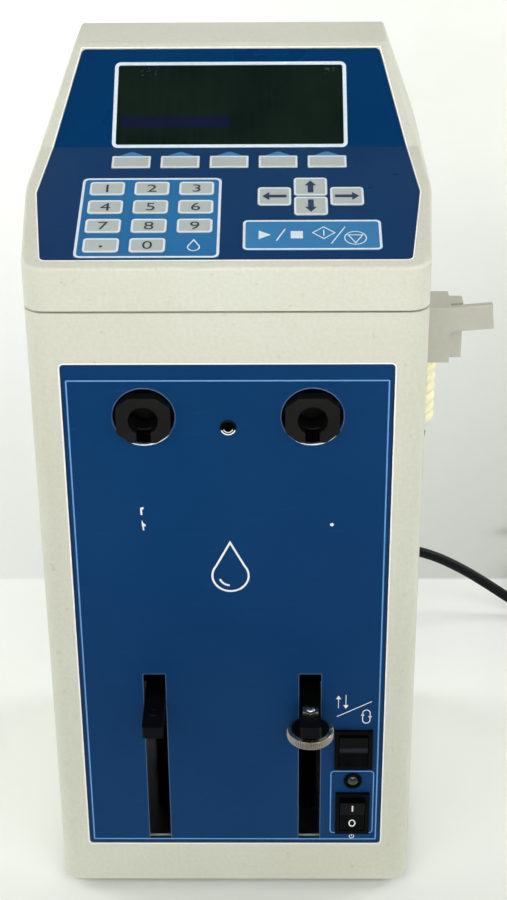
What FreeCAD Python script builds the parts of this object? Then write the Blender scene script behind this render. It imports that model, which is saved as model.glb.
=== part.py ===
"""Bench syringe pump with two syringe drives: a parametric FreeCAD model, in millimetres.

While it is built, the origin is on the table under the middle of the front face.  X runs to the
right, Y runs from the front face to the back, Z runs up.  At the end every sub-part is moved, so
that the origin is on the table under the middle of the object's own box, its cords left out.
Each sub-part is one object of the document, and its label names its file in parts/.
"""
import FreeCAD
import Part
import Sketcher
import math
import os
from FreeCAD import Placement, Rotation, Vector

# ---------------------------------------------------------------- driving dimensions
SIZES = {
    # case
    "foot_height": 4, "foot_radius": 7, "foot_spread": 58, "foot_front": 18, "foot_back": 128,
    "front_half": 73, "side_half": 76, "flare_depth": 46, "body_depth": 146, "corner_radius": 8,
    "seam_height": 268, "seam_gap": 0.8, "seam_inset": 1.2,
    "side_wall": 3, "front_wall": 4, "back_wall": 4, "deck_wall": 3, "plate_fit": 0.2,
    "base_plate_thick": 2, "cable_half": 30, "cable_front": 80, "cable_back": 120,
    # head
    "lip_height": 284.6, "keypad_slope": 15, "keypad_run": 77.5, "display_slope": 38,
    "display_run": 49.3, "facet_height": 297, "facet_lean": 20, "edge_round": 1.5,
    "skin_recess": 1.0, "overlay_thick": 0.8,
    "overlay_front": 5, "overlay_knee": 47, "overlay_top": 46.4,
    "overlay_front_half": 66.5, "overlay_knee_half": 71.5, "overlay_fold_half": 68,
    "overlay_top_half": 58.8,
    "window_half": 44.1, "window_low": 0.6, "window_high": 38, "window_thick": 1.2,
    "window_gap": 0.1, "window_way_half": 46.5, "window_way_low": -0.6, "window_way_high": 40.4,
    "lcd_thick": 7.5, "lcd_gap": 0.2, "lcd_half": 45, "lcd_low": 0.2, "lcd_high": 39.4,
    "lcd_board_half": 52, "lcd_board_low": -1, "lcd_board_high": 42, "board_thick": 1.6,
    "keypad_way_left": 57, "keypad_way_right": 57.5, "keypad_way_front": 7.6,
    "keypad_way_back": 74.4, "keypad_board_gap": 0.9,
    # keys
    "key_thick": 1.1, "key_proud": 0, "key_gap": 0.1, "key_travel": 0.5, "board_clear": 0.1,
    "number_width": 13.1, "number_depth": 8.5, "number_left": -45.3, "number_pitch": 16.75,
    "number_front": 13.8, "number_rows": 11.9, "number_round": 1.5,
    "function_width": 14.8, "function_depth": 7.9, "function_pitch": 18.7,
    "function_row": 67.15, "function_round": 0.4,
    "arrow_width": 12.5, "arrow_depth": 11.6, "arrow_centre": 30.8, "arrow_row": 44.1,
    "arrow_side": 13.5, "arrow_rise": 6.2, "arrow_round": 1.5,
    "run_width": 50.4, "run_depth": 18.3, "run_centre": 31, "run_row": 19.75, "run_round": 2,
    # front panel
    "panel_half": 61.2, "panel_low": 23.6, "panel_high": 246.8, "panel_thick": 1.5,
    "panel_sink": 0.5, "panel_round": 1.5, "panel_way_half": 58.5, "panel_way_low": 25.2,
    "panel_way_high": 244,
    "drive_spread": 31.3, "slot_width": 8.9, "slot_low": 25.8, "slot_high": 109.8,
    "insert_height": 221, "insert_radius": 3, "insert_bore": 1.65, "insert_length": 6.8,
    # valve drives
    "valve_height": 225.3, "valve_hole": 11.6, "valve_proud": 3,
    "valve_wide": 20.1, "valve_tall": 18.2, "valve_facet_across": 5, "valve_facet_up": 4,
    "valve_facet_round": 2.4, "valve_bore": 5.6, "valve_chamber": 7, "valve_bore_length": 11,
    "valve_length": 23, "valve_flange": 14.5, "valve_flange_thick": 3, "keyway_width": 5.4,
    "coupler_radius": 6.6, "coupler_thick": 6, "coupler_back": 3, "coupler_shaft": 18,
    "tongue_half": 4.5, "tongue_reach": 2.5, "tongue_half_thick": 1.2,
    "valve_motor_size": 35, "valve_motor_length": 36, "valve_shaft_well": 14,
    # syringe drives
    "arm_width": 8.3, "arm_thick": 5.2, "arm_top": 98, "arm_reach": 19.2, "arm_hole_depth": 9,
    "arm_hole": 2.1, "carriage_width": 28, "carriage_front": 32, "carriage_back": 70,
    "carriage_low": 84, "carriage_high": 104, "lead_radius": 4, "lead_depth": 44,
    "guide_depth": 60, "running_gap": 0.05, "shaft_radius": 2.5, "arm_round": 1.2,
    "thumb_radius": 9.35, "thumb_low": 86, "thumb_high": 90.3, "thumb_edge": 0.6,
    "thumb_teeth": 48, "flute_radius": 0.5, "flute_out": 0.25,
    "nut_across": 6.2, "nut_thick": 1.6, "tip_radius": 2, "tip_high": 100.6,
    "frame_thick": 3, "frame_half": 56, "screw_float": 0.3, "screw_end_gap": 0.5,
    "screw_into_motor": 18, "motor_well": 20, "motor_pilot": 11,
    "frame_front": 14, "frame_back": 86, "frame_top": 134, "drive_motor_size": 42,
    "drive_motor_length": 38,
    # switches and lamp
    "switch_column": 49.3, "prime_height": 72.75, "prime_width": 15.6, "prime_tall": 19.3,
    "power_height": 39.85, "power_width": 14.2, "power_tall": 20.9, "bezel_thick": 1.6,
    "bezel_rim": 1.7, "switch_depth": 14, "switch_floor": 5, "switch_hole_inset": 1.1,
    "switch_body_inset": 1.3, "rocker_gap": 0.7, "rocker_side_gap": 0.3, "rocker_pivot": 2.2,
    "rocker_end": 0.9, "rocker_dip": 0.25, "rocker_edge": 2.6, "rocker_foot": 2.5,
    "power_tilt": 8,
    "lamp_height": 56.5, "lamp_radius": 3.75, "lamp_lens": 2.5, "lamp_rim": 1.2,
    "lamp_stem": 7, "lamp_stem_inset": 0.7, "lamp_hole_inset": 0.6, "lens_proud": 1,
    "lens_length": 8,
    # back
    "back_half": 67.4, "back_low": 10, "back_high": 262, "back_thick": 1.6, "back_opening": 62,
    "back_lip": 6, "vent_half": 38, "vent_low": 178, "vent_pitch": 7, "vent_tall": 3,
    "jack_across": 54, "jack_height": 112, "jack_radius": 6.5, "jack_hole": 7,
    "jack_foot_left": 40, "jack_foot_half": 8, "jack_foot_deep": 20, "jack_pin": 4,
    "jack_well_deep": 12,
    "gland_across": 40, "gland_height": 66, "gland_radius": 7.5, "gland_thick": 3,
    "gland_neck": 5.3, "gland_neck_deep": 5, "gland_relief": 27, "gland_relief_root": 5.4,
    "gland_relief_tip": 3.5,
    "screw_radius": 1.5, "screw_head": 2.8, "screw_head_thick": 1.8, "screw_slot_half": 0.35,
    "screw_slot_deep": 0.8, "screw_inset": 14,
    # control board
    "board_face": 112, "board_half": 58, "board_low": 16, "board_high": 244,
    # side holder
    "holder_front": 100, "holder_back": 118, "holder_low": 200.7, "holder_high": 226,
    "holder_width": 15.3, "holder_wall_reach": 20.8, "holder_arm_reach": 33.6,
    "holder_arm_tall": 11, "holder_arm_thick": 2.6, "holder_arm_rise": 5,
    "leaf_front": 5.5, "leaf_back": 13, "grip_across": 84, "grip_height": 208,
    "grip_root": 3.4, "grip_tip": 2.9, "grip_length": 11,
    # cords
    "supply_radius": 2.65, "supply_coil_middle": 28.5, "supply_coil_across": 190.5,
    "supply_coil_depth": 244, "plug_back": 2, "plug_behind": 28, "plug_radius": 6.5,
    "plug_length": 24, "nose_radius": 4.6, "nose_length": 9, "relief_root": 5,
    "relief_tip": 3.3, "relief_length": 16, "probe_radius": 2.3, "probe_coil_radius": 7.8,
    "probe_coil_across": 83.6, "probe_coil_depth": 156.5, "probe_coil_low": 142,
    "probe_coil_high": 193, "probe_plug_length": 15, "probe_pin": 4, "probe_pin_deep": 8,
    "boot_inset": 3.5, "boot_root": 4.6, "boot_knee": 3.3, "boot_tip": 2.9,
}

doc = FreeCAD.newDocument("syringe_pump")
sheet = doc.addObject("Spreadsheet::Sheet", "Sizes")
for row, (alias, value) in enumerate(SIZES.items(), start=1):
    sheet.set(f"A{row}", alias)
    sheet.set(f"B{row}", str(value))
    sheet.setAlias(f"B{row}", alias)
doc.recompute()

nodes = {}


def size(expression):
    """The number that an expression of sheet names stands for."""
    value = sheet.evalExpression(names(expression))
    return float(getattr(value, "Value", value))


def names(expression):
    """Give each sheet name in an expression its sheet."""
    text = str(expression)
    out = ""
    word = ""
    for letter in text + " ":
        if letter.isalpha() or letter == "_" or (word and letter.isdigit()):
            word += letter
            continue
        out += f"Sizes.{word}" if word in SIZES else word
        word = ""
        out += letter
    return out.strip()


def bind(thing, **expressions):
    """Bind properties to expressions, written with the sheet's names."""
    for key, expression in expressions.items():
        path = key.replace("__", ".")
        thing.setExpression(path, names(expression))


def keep(thing, label):
    """Make an object one of the parts that are written out."""
    thing.Label = label
    nodes[label] = thing
    return thing


# ---------------------------------------------------------------- solids from primitives
def box(name, low, high):
    """A box between two corners, each a triple of expressions."""
    thing = doc.addObject("Part::Box", name)
    spans = [f"({b})-({a})" for a, b in zip(low, high)]
    bind(thing, Length=spans[0], Width=spans[1], Height=spans[2])
    bind(thing, Placement__Base__x=low[0], Placement__Base__y=low[1], Placement__Base__z=low[2])
    return thing


TURNS = {
    "+x": Rotation(Vector(0, 1, 0), 90),
    "+y": Rotation(Vector(1, 0, 0), -90),
    "+z": Rotation(),
}


def cylinder(name, radius, length, base, along="+z"):
    """A cylinder that starts at base and runs along an axis."""
    thing = doc.addObject("Part::Cylinder", name)
    thing.Placement.Rotation = TURNS[along]
    bind(thing, Radius=radius, Height=length)
    bind(thing, Placement__Base__x=base[0], Placement__Base__y=base[1],
         Placement__Base__z=base[2])
    return thing


def cone(name, radius, end_radius, length, base, along="+z"):
    """A tapered round that starts at base and runs along an axis."""
    thing = doc.addObject("Part::Cone", name)
    thing.Placement.Rotation = TURNS[along]
    bind(thing, Radius1=radius, Radius2=end_radius, Height=length)
    bind(thing, Placement__Base__x=base[0], Placement__Base__y=base[1],
         Placement__Base__z=base[2])
    return thing


def fuse(name, pieces):
    thing = doc.addObject("Part::MultiFuse", name)
    thing.Shapes = pieces
    return thing


def group(name, pieces):
    """Separate solids that share one part."""
    thing = doc.addObject("Part::Compound", name)
    thing.Links = pieces
    return thing


def cut(name, base, tools):
    thing = doc.addObject("Part::Cut", name)
    thing.Base = base
    thing.Tool = tools[0] if len(tools) == 1 else fuse(f"{name}_tools", tools)
    return thing


def common(name, base, tool):
    thing = doc.addObject("Part::Common", name)
    thing.Base = base
    thing.Tool = tool
    return thing


# ---------------------------------------------------------------- solids from sketches
def new_body(name):
    return doc.addObject("PartDesign::Body", name)


def sketch_on(body, role, offset="0"):
    """A sketch on one of the body's own origin planes, moved along the plane's normal."""
    sketch = body.newObject("Sketcher::SketchObject", f"{body.Name}_sketch")
    plane = [item for item in body.Origin.OriginFeatures if item.Role == role][0]
    sketch.AttachmentSupport = (plane, "")
    sketch.MapMode = "FlatFace"
    bind(sketch, AttachmentOffset__Base__z=offset)
    return sketch


def hold_point(sketch, geometry, point, across, up):
    """Fix a sketch point at two expressions."""
    for kind, expression in (("DistanceX", across), ("DistanceY", up)):
        rule = Sketcher.Constraint(kind, -1, 1, geometry, point, size(expression))
        index = sketch.addConstraint(rule)
        sketch.setExpression(f"Constraints[{index}]", names(expression))


def polygon(sketch, corners):
    """A closed outline through corners, each a pair of expressions."""
    points = [Vector(size(x), size(y), 0) for x, y in corners]
    first = sketch.GeometryCount
    for index, point in enumerate(points):
        sketch.addGeometry(Part.LineSegment(point, points[(index + 1) % len(points)]))
    for index in range(len(points)):
        after = first + (index + 1) % len(points)
        sketch.addConstraint(Sketcher.Constraint("Coincident", first + index, 2, after, 1))
    for index, (across, up) in enumerate(corners):
        hold_point(sketch, first + index, 1, across, up)


def rectangle(sketch, left, low, right, high):
    polygon(sketch, [(left, low), (right, low), (right, high), (left, high)])


def circle(sketch, across, up, radius):
    centre = Vector(size(across), size(up), 0)
    index = sketch.addGeometry(Part.Circle(centre, Vector(0, 0, 1), size(radius)))
    hold_point(sketch, index, 3, across, up)
    rule = sketch.addConstraint(Sketcher.Constraint("Radius", index, size(radius)))
    sketch.setExpression(f"Constraints[{rule}]", names(radius))


def pad(body, sketch, length, backwards=False, both_ways=False):
    feature = body.newObject("PartDesign::Pad", f"{body.Name}_pad")
    feature.Profile = sketch
    feature.Reversed = backwards
    feature.Midplane = both_ways
    bind(feature, Length=length)
    doc.recompute()
    return feature


def pocket(body, sketch, length, backwards=False, both_ways=False):
    feature = body.newObject("PartDesign::Pocket", f"{body.Name}_pocket")
    feature.Profile = sketch
    feature.Reversed = backwards
    feature.Midplane = both_ways
    bind(feature, Length=length)
    doc.recompute()
    return feature


def revolve(body, sketch):
    """A full turn about the sketch's upright axis."""
    feature = body.newObject("PartDesign::Revolution", f"{body.Name}_turned")
    feature.Profile = sketch
    feature.ReferenceAxis = (sketch, ["V_Axis"])
    feature.Angle = 360
    doc.recompute()
    return feature


def round_edges(body, radius, wanted):
    """Fillet the edges of the body's last feature for which wanted(edge) is true."""
    base = body.Tip
    picks = [f"Edge{i}" for i, edge in enumerate(base.Shape.Edges, start=1) if wanted(edge)]
    feature = body.newObject("PartDesign::Fillet", f"{body.Name}_round")
    feature.Base = (base, picks)
    bind(feature, Radius=radius)
    doc.recompute()
    return feature


def runs_along(edge, axis):
    """True for a straight edge parallel to an axis."""
    if not isinstance(edge.Curve, Part.Line):
        return False
    return abs(abs(edge.Curve.Direction.dot(axis)) - 1) < 1e-6


UP = Vector(0, 0, 1)
BACK = Vector(0, 1, 0)


# ---------------------------------------------------------------- planes of the head
FOLD_DEPTH = "keypad_run*cos(keypad_slope*1deg)"
FOLD_HEIGHT = "(lip_height+keypad_run*sin(keypad_slope*1deg))"
RIDGE_DEPTH = f"({FOLD_DEPTH}+display_run*cos(display_slope*1deg))"
RIDGE_HEIGHT = f"({FOLD_HEIGHT}+display_run*sin(display_slope*1deg))"


def keypad_plane():
    """Local x across, y up the slope from the front lip, z out of the keypad's face."""
    return Placement(Vector(0, 0, size("lip_height")),
                     Rotation(Vector(1, 0, 0), size("keypad_slope")))


def display_plane():
    """Local x across, y up the slope from the fold, z out of the display's face."""
    return Placement(Vector(0, size(FOLD_DEPTH), size(FOLD_HEIGHT)),
                     Rotation(Vector(1, 0, 0), size("display_slope")))


def local_box(name, plane, low, high):
    """A box in the axes of a sloping plane, its corners in expressions."""
    thing = doc.addObject("Part::Box", name)
    spans = [f"({b})-({a})" for a, b in zip(low, high)]
    bind(thing, Length=spans[0], Width=spans[1], Height=spans[2])
    corner = Vector(*[size(item) for item in low])
    thing.Placement = plane.multiply(Placement(corner, Rotation()))
    return thing


# ---------------------------------------------------------------- case
def plan_corners(side="0", front="0", back="0"):
    """The case's outline from above, moved in by a wall at the side, front and back."""
    slope = f"(side_half-front_half)*({front})/flare_depth"
    near = f"front_half+{slope}-({side})"
    wide = f"side_half-({side})"
    rear = f"body_depth-({back})"
    return [(f"-({near})", front), (near, front), (wide, "flare_depth"), (wide, rear),
            (f"-({wide})", rear), (f"-({wide})", "flare_depth")]


def is_corner(edge):
    """True for the four upright corners at the front and back, not the flare's knees."""
    if not runs_along(edge, UP):
        return False
    depth = edge.Vertexes[0].Point.y
    return abs(depth - size("flare_depth")) > 1


def shell_prism(name, low, height, side="0", front="0", back="0", corner="corner_radius"):
    """An upright prism of the case's outline with round corners."""
    body = new_body(name)
    sketch = sketch_on(body, "XY_Plane", low)
    polygon(sketch, plan_corners(side, front, back))
    pad(body, sketch, height)
    round_edges(body, corner, is_corner)
    return body


def make_lower_case():
    body = shell_prism("lower_case", "foot_height", "seam_height-seam_gap-foot_height")
    lip = sketch_on(body, "XY_Plane", "seam_height-seam_gap")
    polygon(lip, plan_corners("seam_inset+corner_radius/3", "seam_inset+corner_radius/3",
                              "seam_inset+corner_radius/3"))
    pad(body, lip, "seam_gap")
    inside = sketch_on(body, "XY_Plane", "foot_height")
    polygon(inside, plan_corners("side_wall", "front_wall", "back_wall"))
    pocket(body, inside, "seam_height-seam_gap-deck_wall-foot_height", backwards=True)
    cable_way = sketch_on(body, "XY_Plane", "seam_height")
    rectangle(cable_way, "-cable_half", "cable_front", "cable_half", "cable_back")
    pocket(body, cable_way, "2*deck_wall")
    recess = sketch_on(body, "XZ_Plane")
    gap = "plate_fit*0.75"
    rectangle(recess, f"-panel_half-{gap}", f"panel_low-{gap}", f"panel_half+{gap}",
              f"panel_high+{gap}")
    pocket(body, recess, "panel_sink+panel_thick")
    round_edges(body, "panel_round", lambda edge: runs_along(edge, BACK)
                and edge.Length < 2.1 and edge.Vertexes[0].Point.y < 3)
    opening = sketch_on(body, "XZ_Plane")
    rectangle(opening, "-panel_way_half", "panel_way_low", "panel_way_half", "panel_way_high")
    pocket(body, opening, "front_wall*1.5")
    back_recess = sketch_on(body, "XZ_Plane", "-body_depth")
    rectangle(back_recess, "-back_half-plate_fit", "back_low-plate_fit",
              "back_half+plate_fit", "back_high+plate_fit")
    pocket(body, back_recess, "back_thick", backwards=True)
    back_way = sketch_on(body, "XZ_Plane", "-body_depth")
    rectangle(back_way, "-back_opening", "back_low+back_lip", "back_opening",
              "back_high-back_lip")
    pocket(body, back_way, "back_wall*1.5", backwards=True)
    holes = sketch_on(body, "XZ_Plane", "-body_depth")
    for across, up in back_screws():
        circle(holes, across, up, "screw_radius")
    pocket(body, holes, "back_wall*1.5", backwards=True)
    keep(body, "lower_case")


def back_screws():
    """Where the six screws of the rear panel are, across and up."""
    edge = "(back_half+back_opening)/2"
    middle = "(back_low+back_high)/2"
    return [(f"{sign}{edge}", up) for sign in ("-", "")
            for up in ("back_low+screw_inset", middle, "back_high-screw_inset")]


def make_base_plate():
    body = new_body("base_plate")
    sketch = sketch_on(body, "XY_Plane", "foot_height")
    polygon(sketch, plan_corners("side_wall+plate_fit", "front_wall+plate_fit",
                                 "back_wall+plate_fit"))
    pad(body, sketch, "base_plate_thick")
    round_edges(body, "corner_radius-side_wall", is_corner)
    keep(body, "base_plate")


def make_feet():
    feet = []
    for across in ("-foot_spread", "foot_spread"):
        for depth in ("foot_front", "foot_back"):
            feet.append(cone("foot", "foot_radius-1", "foot_radius", "foot_height",
                             (across, depth, "0")))
    keep(group("feet_group", feet), "feet")


VENT_ROWS = 8


def make_rear_panel():
    body = new_body("rear_panel")
    sketch = sketch_on(body, "XZ_Plane", "-body_depth")
    rectangle(sketch, "-back_half", "back_low", "back_half", "back_high")
    pad(body, sketch, "back_thick")
    holes = sketch_on(body, "XZ_Plane", "-body_depth")
    for across, up in back_screws():
        circle(holes, across, up, "screw_radius+0.2")
    circle(holes, "jack_across", "jack_height", "jack_hole")
    circle(holes, "gland_across", "gland_height", "gland_neck+0.2")
    for row in range(VENT_ROWS):
        low = f"vent_low+{row}*vent_pitch"
        rectangle(holes, "-vent_half", low, "vent_half", f"{low}+vent_tall")
    pocket(body, holes, "back_thick*3", both_ways=True)
    keep(body, "rear_panel")


def make_case_screws():
    """Pan head screws that hold the rear panel."""
    screws = []
    for across, up in back_screws():
        head = cylinder("screw_head", "screw_head", "screw_head_thick",
                        (across, "body_depth", up), "+y")
        shank = cylinder("screw_shank", "screw_radius-0.05", "back_wall+0.5",
                         (across, "body_depth-back_wall-0.4", up), "+y")
        top = "body_depth+screw_head_thick"
        slot_low = (f"({across})-screw_head-1", f"{top}-screw_slot_deep",
                    f"{up}-screw_slot_half")
        slot_high = (f"({across})+screw_head+1", f"{top}+1", f"{up}+screw_slot_half")
        whole = fuse("screw_blank", [head, shank])
        screws.append(cut("screw", whole, [box("screw_slot", slot_low, slot_high)]))
    keep(group("screw_group", screws), "case_screws")


# ---------------------------------------------------------------- head
def head_solid(name, inset="0"):
    """The head's outer form, or its hollow when inset is the wall."""
    low = "seam_height" if inset == "0" else "seam_height-1"
    corner = "corner_radius" if inset == "0" else f"corner_radius-({inset})"
    body = shell_prism(name, low, "80", inset, inset, inset, corner)
    roof = sketch_on(body, "YZ_Plane")
    drop = f"({inset})/cos(keypad_slope*1deg)"
    front = "-20"
    front_height = f"lip_height-20*tan(keypad_slope*1deg)-{drop}"
    fold_depth = f"{FOLD_DEPTH}+({inset})*tan((keypad_slope+display_slope)/2*1deg)"
    fold_height = f"{FOLD_HEIGHT}-({inset})"
    ridge_depth = f"{RIDGE_DEPTH}+({inset})*tan(display_slope/2*1deg)"
    ridge_height = f"{RIDGE_HEIGHT}-({inset})"
    polygon(roof, [(front, front_height), (fold_depth, fold_height),
                   (ridge_depth, ridge_height), ("200", ridge_height), ("200", "400"),
                   (front, "400")])
    pocket(body, roof, "400", both_ways=True)
    for sign in ("", "-"):
        facet = sketch_on(body, "XZ_Plane", "20")
        edge = f"side_half-({inset})"
        lean = "60*tan(facet_lean*1deg)"
        polygon(facet, [(f"{sign}({edge})", "facet_height"),
                        (f"{sign}({edge}-{lean})", "facet_height+60"),
                        (f"{sign}100", "facet_height+60"), (f"{sign}100", "facet_height")])
        pocket(body, facet, "300")
    return body


def is_head_rim(edge):
    """True for the roof's outer edges and ridge, above the seam."""
    low = min(vertex.Point.z for vertex in edge.Vertexes)
    if low < size("seam_height") + 5 or runs_along(edge, UP):
        return False
    return abs(edge.CenterOfMass.z - size(FOLD_HEIGHT)) > 0.5 or edge.CenterOfMass.x != 0


def roof_sheet(name, top, thick):
    """A bent sheet under the keypad and display faces: top and thickness below the face."""
    body = new_body(name)
    sketch = sketch_on(body, "YZ_Plane")
    turn = "tan((keypad_slope+display_slope)/2*1deg)"
    points = []
    for drop in (top, f"{top}+{thick}"):
        line = [("0", f"lip_height-({drop})/cos(keypad_slope*1deg)"),
                (f"{FOLD_DEPTH}+({drop})*{turn}", f"{FOLD_HEIGHT}-({drop})"),
                (f"{RIDGE_DEPTH}", f"{RIDGE_HEIGHT}-({drop})/cos(display_slope*1deg)")]
        points.append(line)
    polygon(sketch, points[0] + points[1][::-1])
    pad(body, sketch, "200", both_ways=True)
    return body


def overlay_prism(name, gap):
    """The overlay's outline from above, as an upright prism grown by a gap."""
    body = new_body(name)
    sketch = sketch_on(body, "XY_Plane", "200")
    front = f"overlay_front*cos(keypad_slope*1deg)-{gap}"
    knee = "overlay_knee*cos(keypad_slope*1deg)"
    top = f"{FOLD_DEPTH}+overlay_top*cos(display_slope*1deg)+{gap}"
    right = [(f"overlay_front_half+{gap}", front), (f"overlay_knee_half+{gap}", knee),
             (f"overlay_fold_half+{gap}", FOLD_DEPTH), (f"overlay_top_half+{gap}", top)]
    left = [(f"-({across})", depth) for across, depth in reversed(right)]
    polygon(sketch, right + left)
    pad(body, sketch, "200")
    round_edges(body, "2", lambda edge: runs_along(edge, UP)
                and not 20 < edge.Vertexes[0].Point.y < 90)
    return body


def make_head_case():
    outer = head_solid("head_outer")
    round_edges(outer, "edge_round", is_head_rim)
    inner = head_solid("head_inner", "side_wall")
    recess = common("head_recess", roof_sheet("recess_sheet", "-3", "3+skin_recess"),
                    overlay_prism("recess_prism", "0.15"))
    keypad_way = local_box("keypad_way", keypad_plane(),
                           ("-keypad_way_left", "keypad_way_front", "-8"),
                           ("keypad_way_right", "keypad_way_back", "2"))
    window_way = local_box("window_way", display_plane(),
                           ("-window_way_half", "window_way_low", "-8"),
                           ("window_way_half", "window_way_high", "2"))
    keep(cut("head_shell", outer, [inner, recess, keypad_way, window_way]), "head_case")


def key_table():
    """Each key's name, place, size and corner on the keypad, in expressions of the sheet."""
    keys = []
    rows = [("1", "2", "3"), ("4", "5", "6"), ("7", "8", "9"), ("point", "0")]
    for line, labels in enumerate(rows):
        for column, label in enumerate(labels):
            keys.append((f"key_{label}", f"number_left+{column}*number_pitch",
                         f"number_front+{3 - line}*number_rows", "number_width",
                         "number_depth", "number_round"))
    for column in range(5):
        keys.append((f"function_key_{column + 1}", f"{column - 2}*function_pitch",
                     "function_row", "function_width", "function_depth", "function_round"))
    for label, across, along in (("up", 0, 1), ("down", 0, -1), ("left", -1, 0),
                                 ("right", 1, 0)):
        keys.append((f"arrow_{label}_key", f"arrow_centre+{across}*arrow_side",
                     f"arrow_row+{along}*arrow_rise", "arrow_width", "arrow_depth",
                     "arrow_round"))
    keys.append(("run_stop_key", "run_centre", "run_row", "run_width", "run_depth",
                 "run_round"))
    return keys


def key_block(name, key, grow, low, high):
    """A key's outline grown by a gap, as a block between two heights of the keypad's plane."""
    across, along, width, depth, corner = key
    body = new_body(name)
    sketch = sketch_on(body, "XY_Plane")
    wide = f"({width}/2+{grow})"
    deep = f"({depth}/2+{grow})"
    rectangle(sketch, f"-{wide}", f"-{deep}", wide, deep)
    pad(body, sketch, f"{high}-({low})")
    round_edges(body, f"{corner}+{grow}", lambda edge: runs_along(edge, UP))
    spot = Vector(size(across), size(along), size(low))
    body.Placement = keypad_plane().multiply(Placement(spot, Rotation()))
    return body


def make_keys():
    """Membrane keys, each a thin cap that stands a little proud of the overlay."""
    for name, *key in key_table():
        keep(key_block(name, key, "0", "key_proud-key_thick", "key_proud"), name)


def make_keypad_overlay():
    """The bent printed sheet, open at each key and at the window."""
    sheet_top = "skin_recess-overlay_thick"
    skin = common("overlay_skin", roof_sheet("overlay_sheet", sheet_top, "overlay_thick"),
                  overlay_prism("overlay_outline", "0"))
    tools = [local_box("window_hole", display_plane(),
                       ("-window_half-window_gap", "window_low-window_gap", "-5"),
                       ("window_half+window_gap", "window_high+window_gap", "5"))]
    for name, *key in key_table():
        tools.append(key_block(f"{name}_hole", key, "key_gap", "-5*overlay_thick",
                               "overlay_thick"))
    keep(cut("overlay_cut", skin, tools), "keypad_overlay")


def make_keypad_board():
    """The switch board under the keys, clear of them by more than their travel."""
    top = "key_proud-key_thick-key_travel-board_clear"
    low = ("-(keypad_way_left-keypad_board_gap)", "keypad_way_front+keypad_board_gap",
           f"{top}-board_thick")
    high = ("keypad_way_right-keypad_board_gap", "keypad_way_back-keypad_board_gap", top)
    keep(local_box("keypad_board_plate", keypad_plane(), low, high), "keypad_board")


def make_display():
    """The clear window and the liquid crystal module behind it."""
    top = "-(skin_recess-overlay_thick)"
    keep(local_box("window_plate", display_plane(),
                   ("-window_half", "window_low", f"{top}-window_thick"),
                   ("window_half", "window_high", top)), "display_window")
    back = f"{top}-window_thick-lcd_gap-lcd_thick"
    glass = local_box("lcd_glass", display_plane(), ("-lcd_half", "lcd_low", back),
                      ("lcd_half", "lcd_high", f"{back}+lcd_thick"))
    board = local_box("lcd_board", display_plane(),
                      ("-lcd_board_half", "lcd_board_low", f"{back}-board_thick"),
                      ("lcd_board_half", "lcd_board_high", back))
    keep(fuse("lcd_fused", [glass, board]), "lcd_module")


# ---------------------------------------------------------------- front panel and its fittings
def make_front_panel():
    body = new_body("front_panel")
    sketch = sketch_on(body, "XZ_Plane", "-panel_sink")
    rectangle(sketch, "-panel_half", "panel_low", "panel_half", "panel_high")
    pad(body, sketch, "panel_thick", backwards=True)
    round_edges(body, "panel_round", lambda edge: runs_along(edge, BACK))
    holes = sketch_on(body, "XZ_Plane", "-panel_sink")
    for side in ("-", ""):
        circle(holes, f"{side}drive_spread", "valve_height", "valve_hole")
        rectangle(holes, f"{side}drive_spread-slot_width/2", "slot_low",
                  f"{side}drive_spread+slot_width/2", "slot_high")
    circle(holes, "0", "insert_height", "insert_radius-0.15")
    for height, width, tall in (("prime_height", "prime_width", "prime_tall"),
                                ("power_height", "power_width", "power_tall")):
        half = f"({width}/2-switch_hole_inset)"
        rise = f"({tall}/2-switch_hole_inset)"
        rectangle(holes, f"switch_column-{half}", f"{height}-{rise}",
                  f"switch_column+{half}", f"{height}+{rise}")
    circle(holes, "switch_column", "lamp_height", "lamp_radius-lamp_hole_inset")
    pocket(body, holes, "panel_thick*3", both_ways=True)
    keep(body, "front_panel")


def boss_corners(centre):
    """The eight corners of a boss's front, anticlockwise from the right."""
    wide = "valve_wide/2"
    tall = "valve_tall/2"
    near = [(wide, f"({tall}-valve_facet_up)"), (f"({wide}-valve_facet_across)", tall)]
    corners = []
    for across_sign, up_sign, pair in (("+", "+", near), ("-", "+", near[::-1]),
                                       ("-", "-", near), ("+", "-", near[::-1])):
        corners += [(f"{centre}{across_sign}{across}", f"valve_height{up_sign}{up}")
                    for across, up in pair]
    return corners


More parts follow.
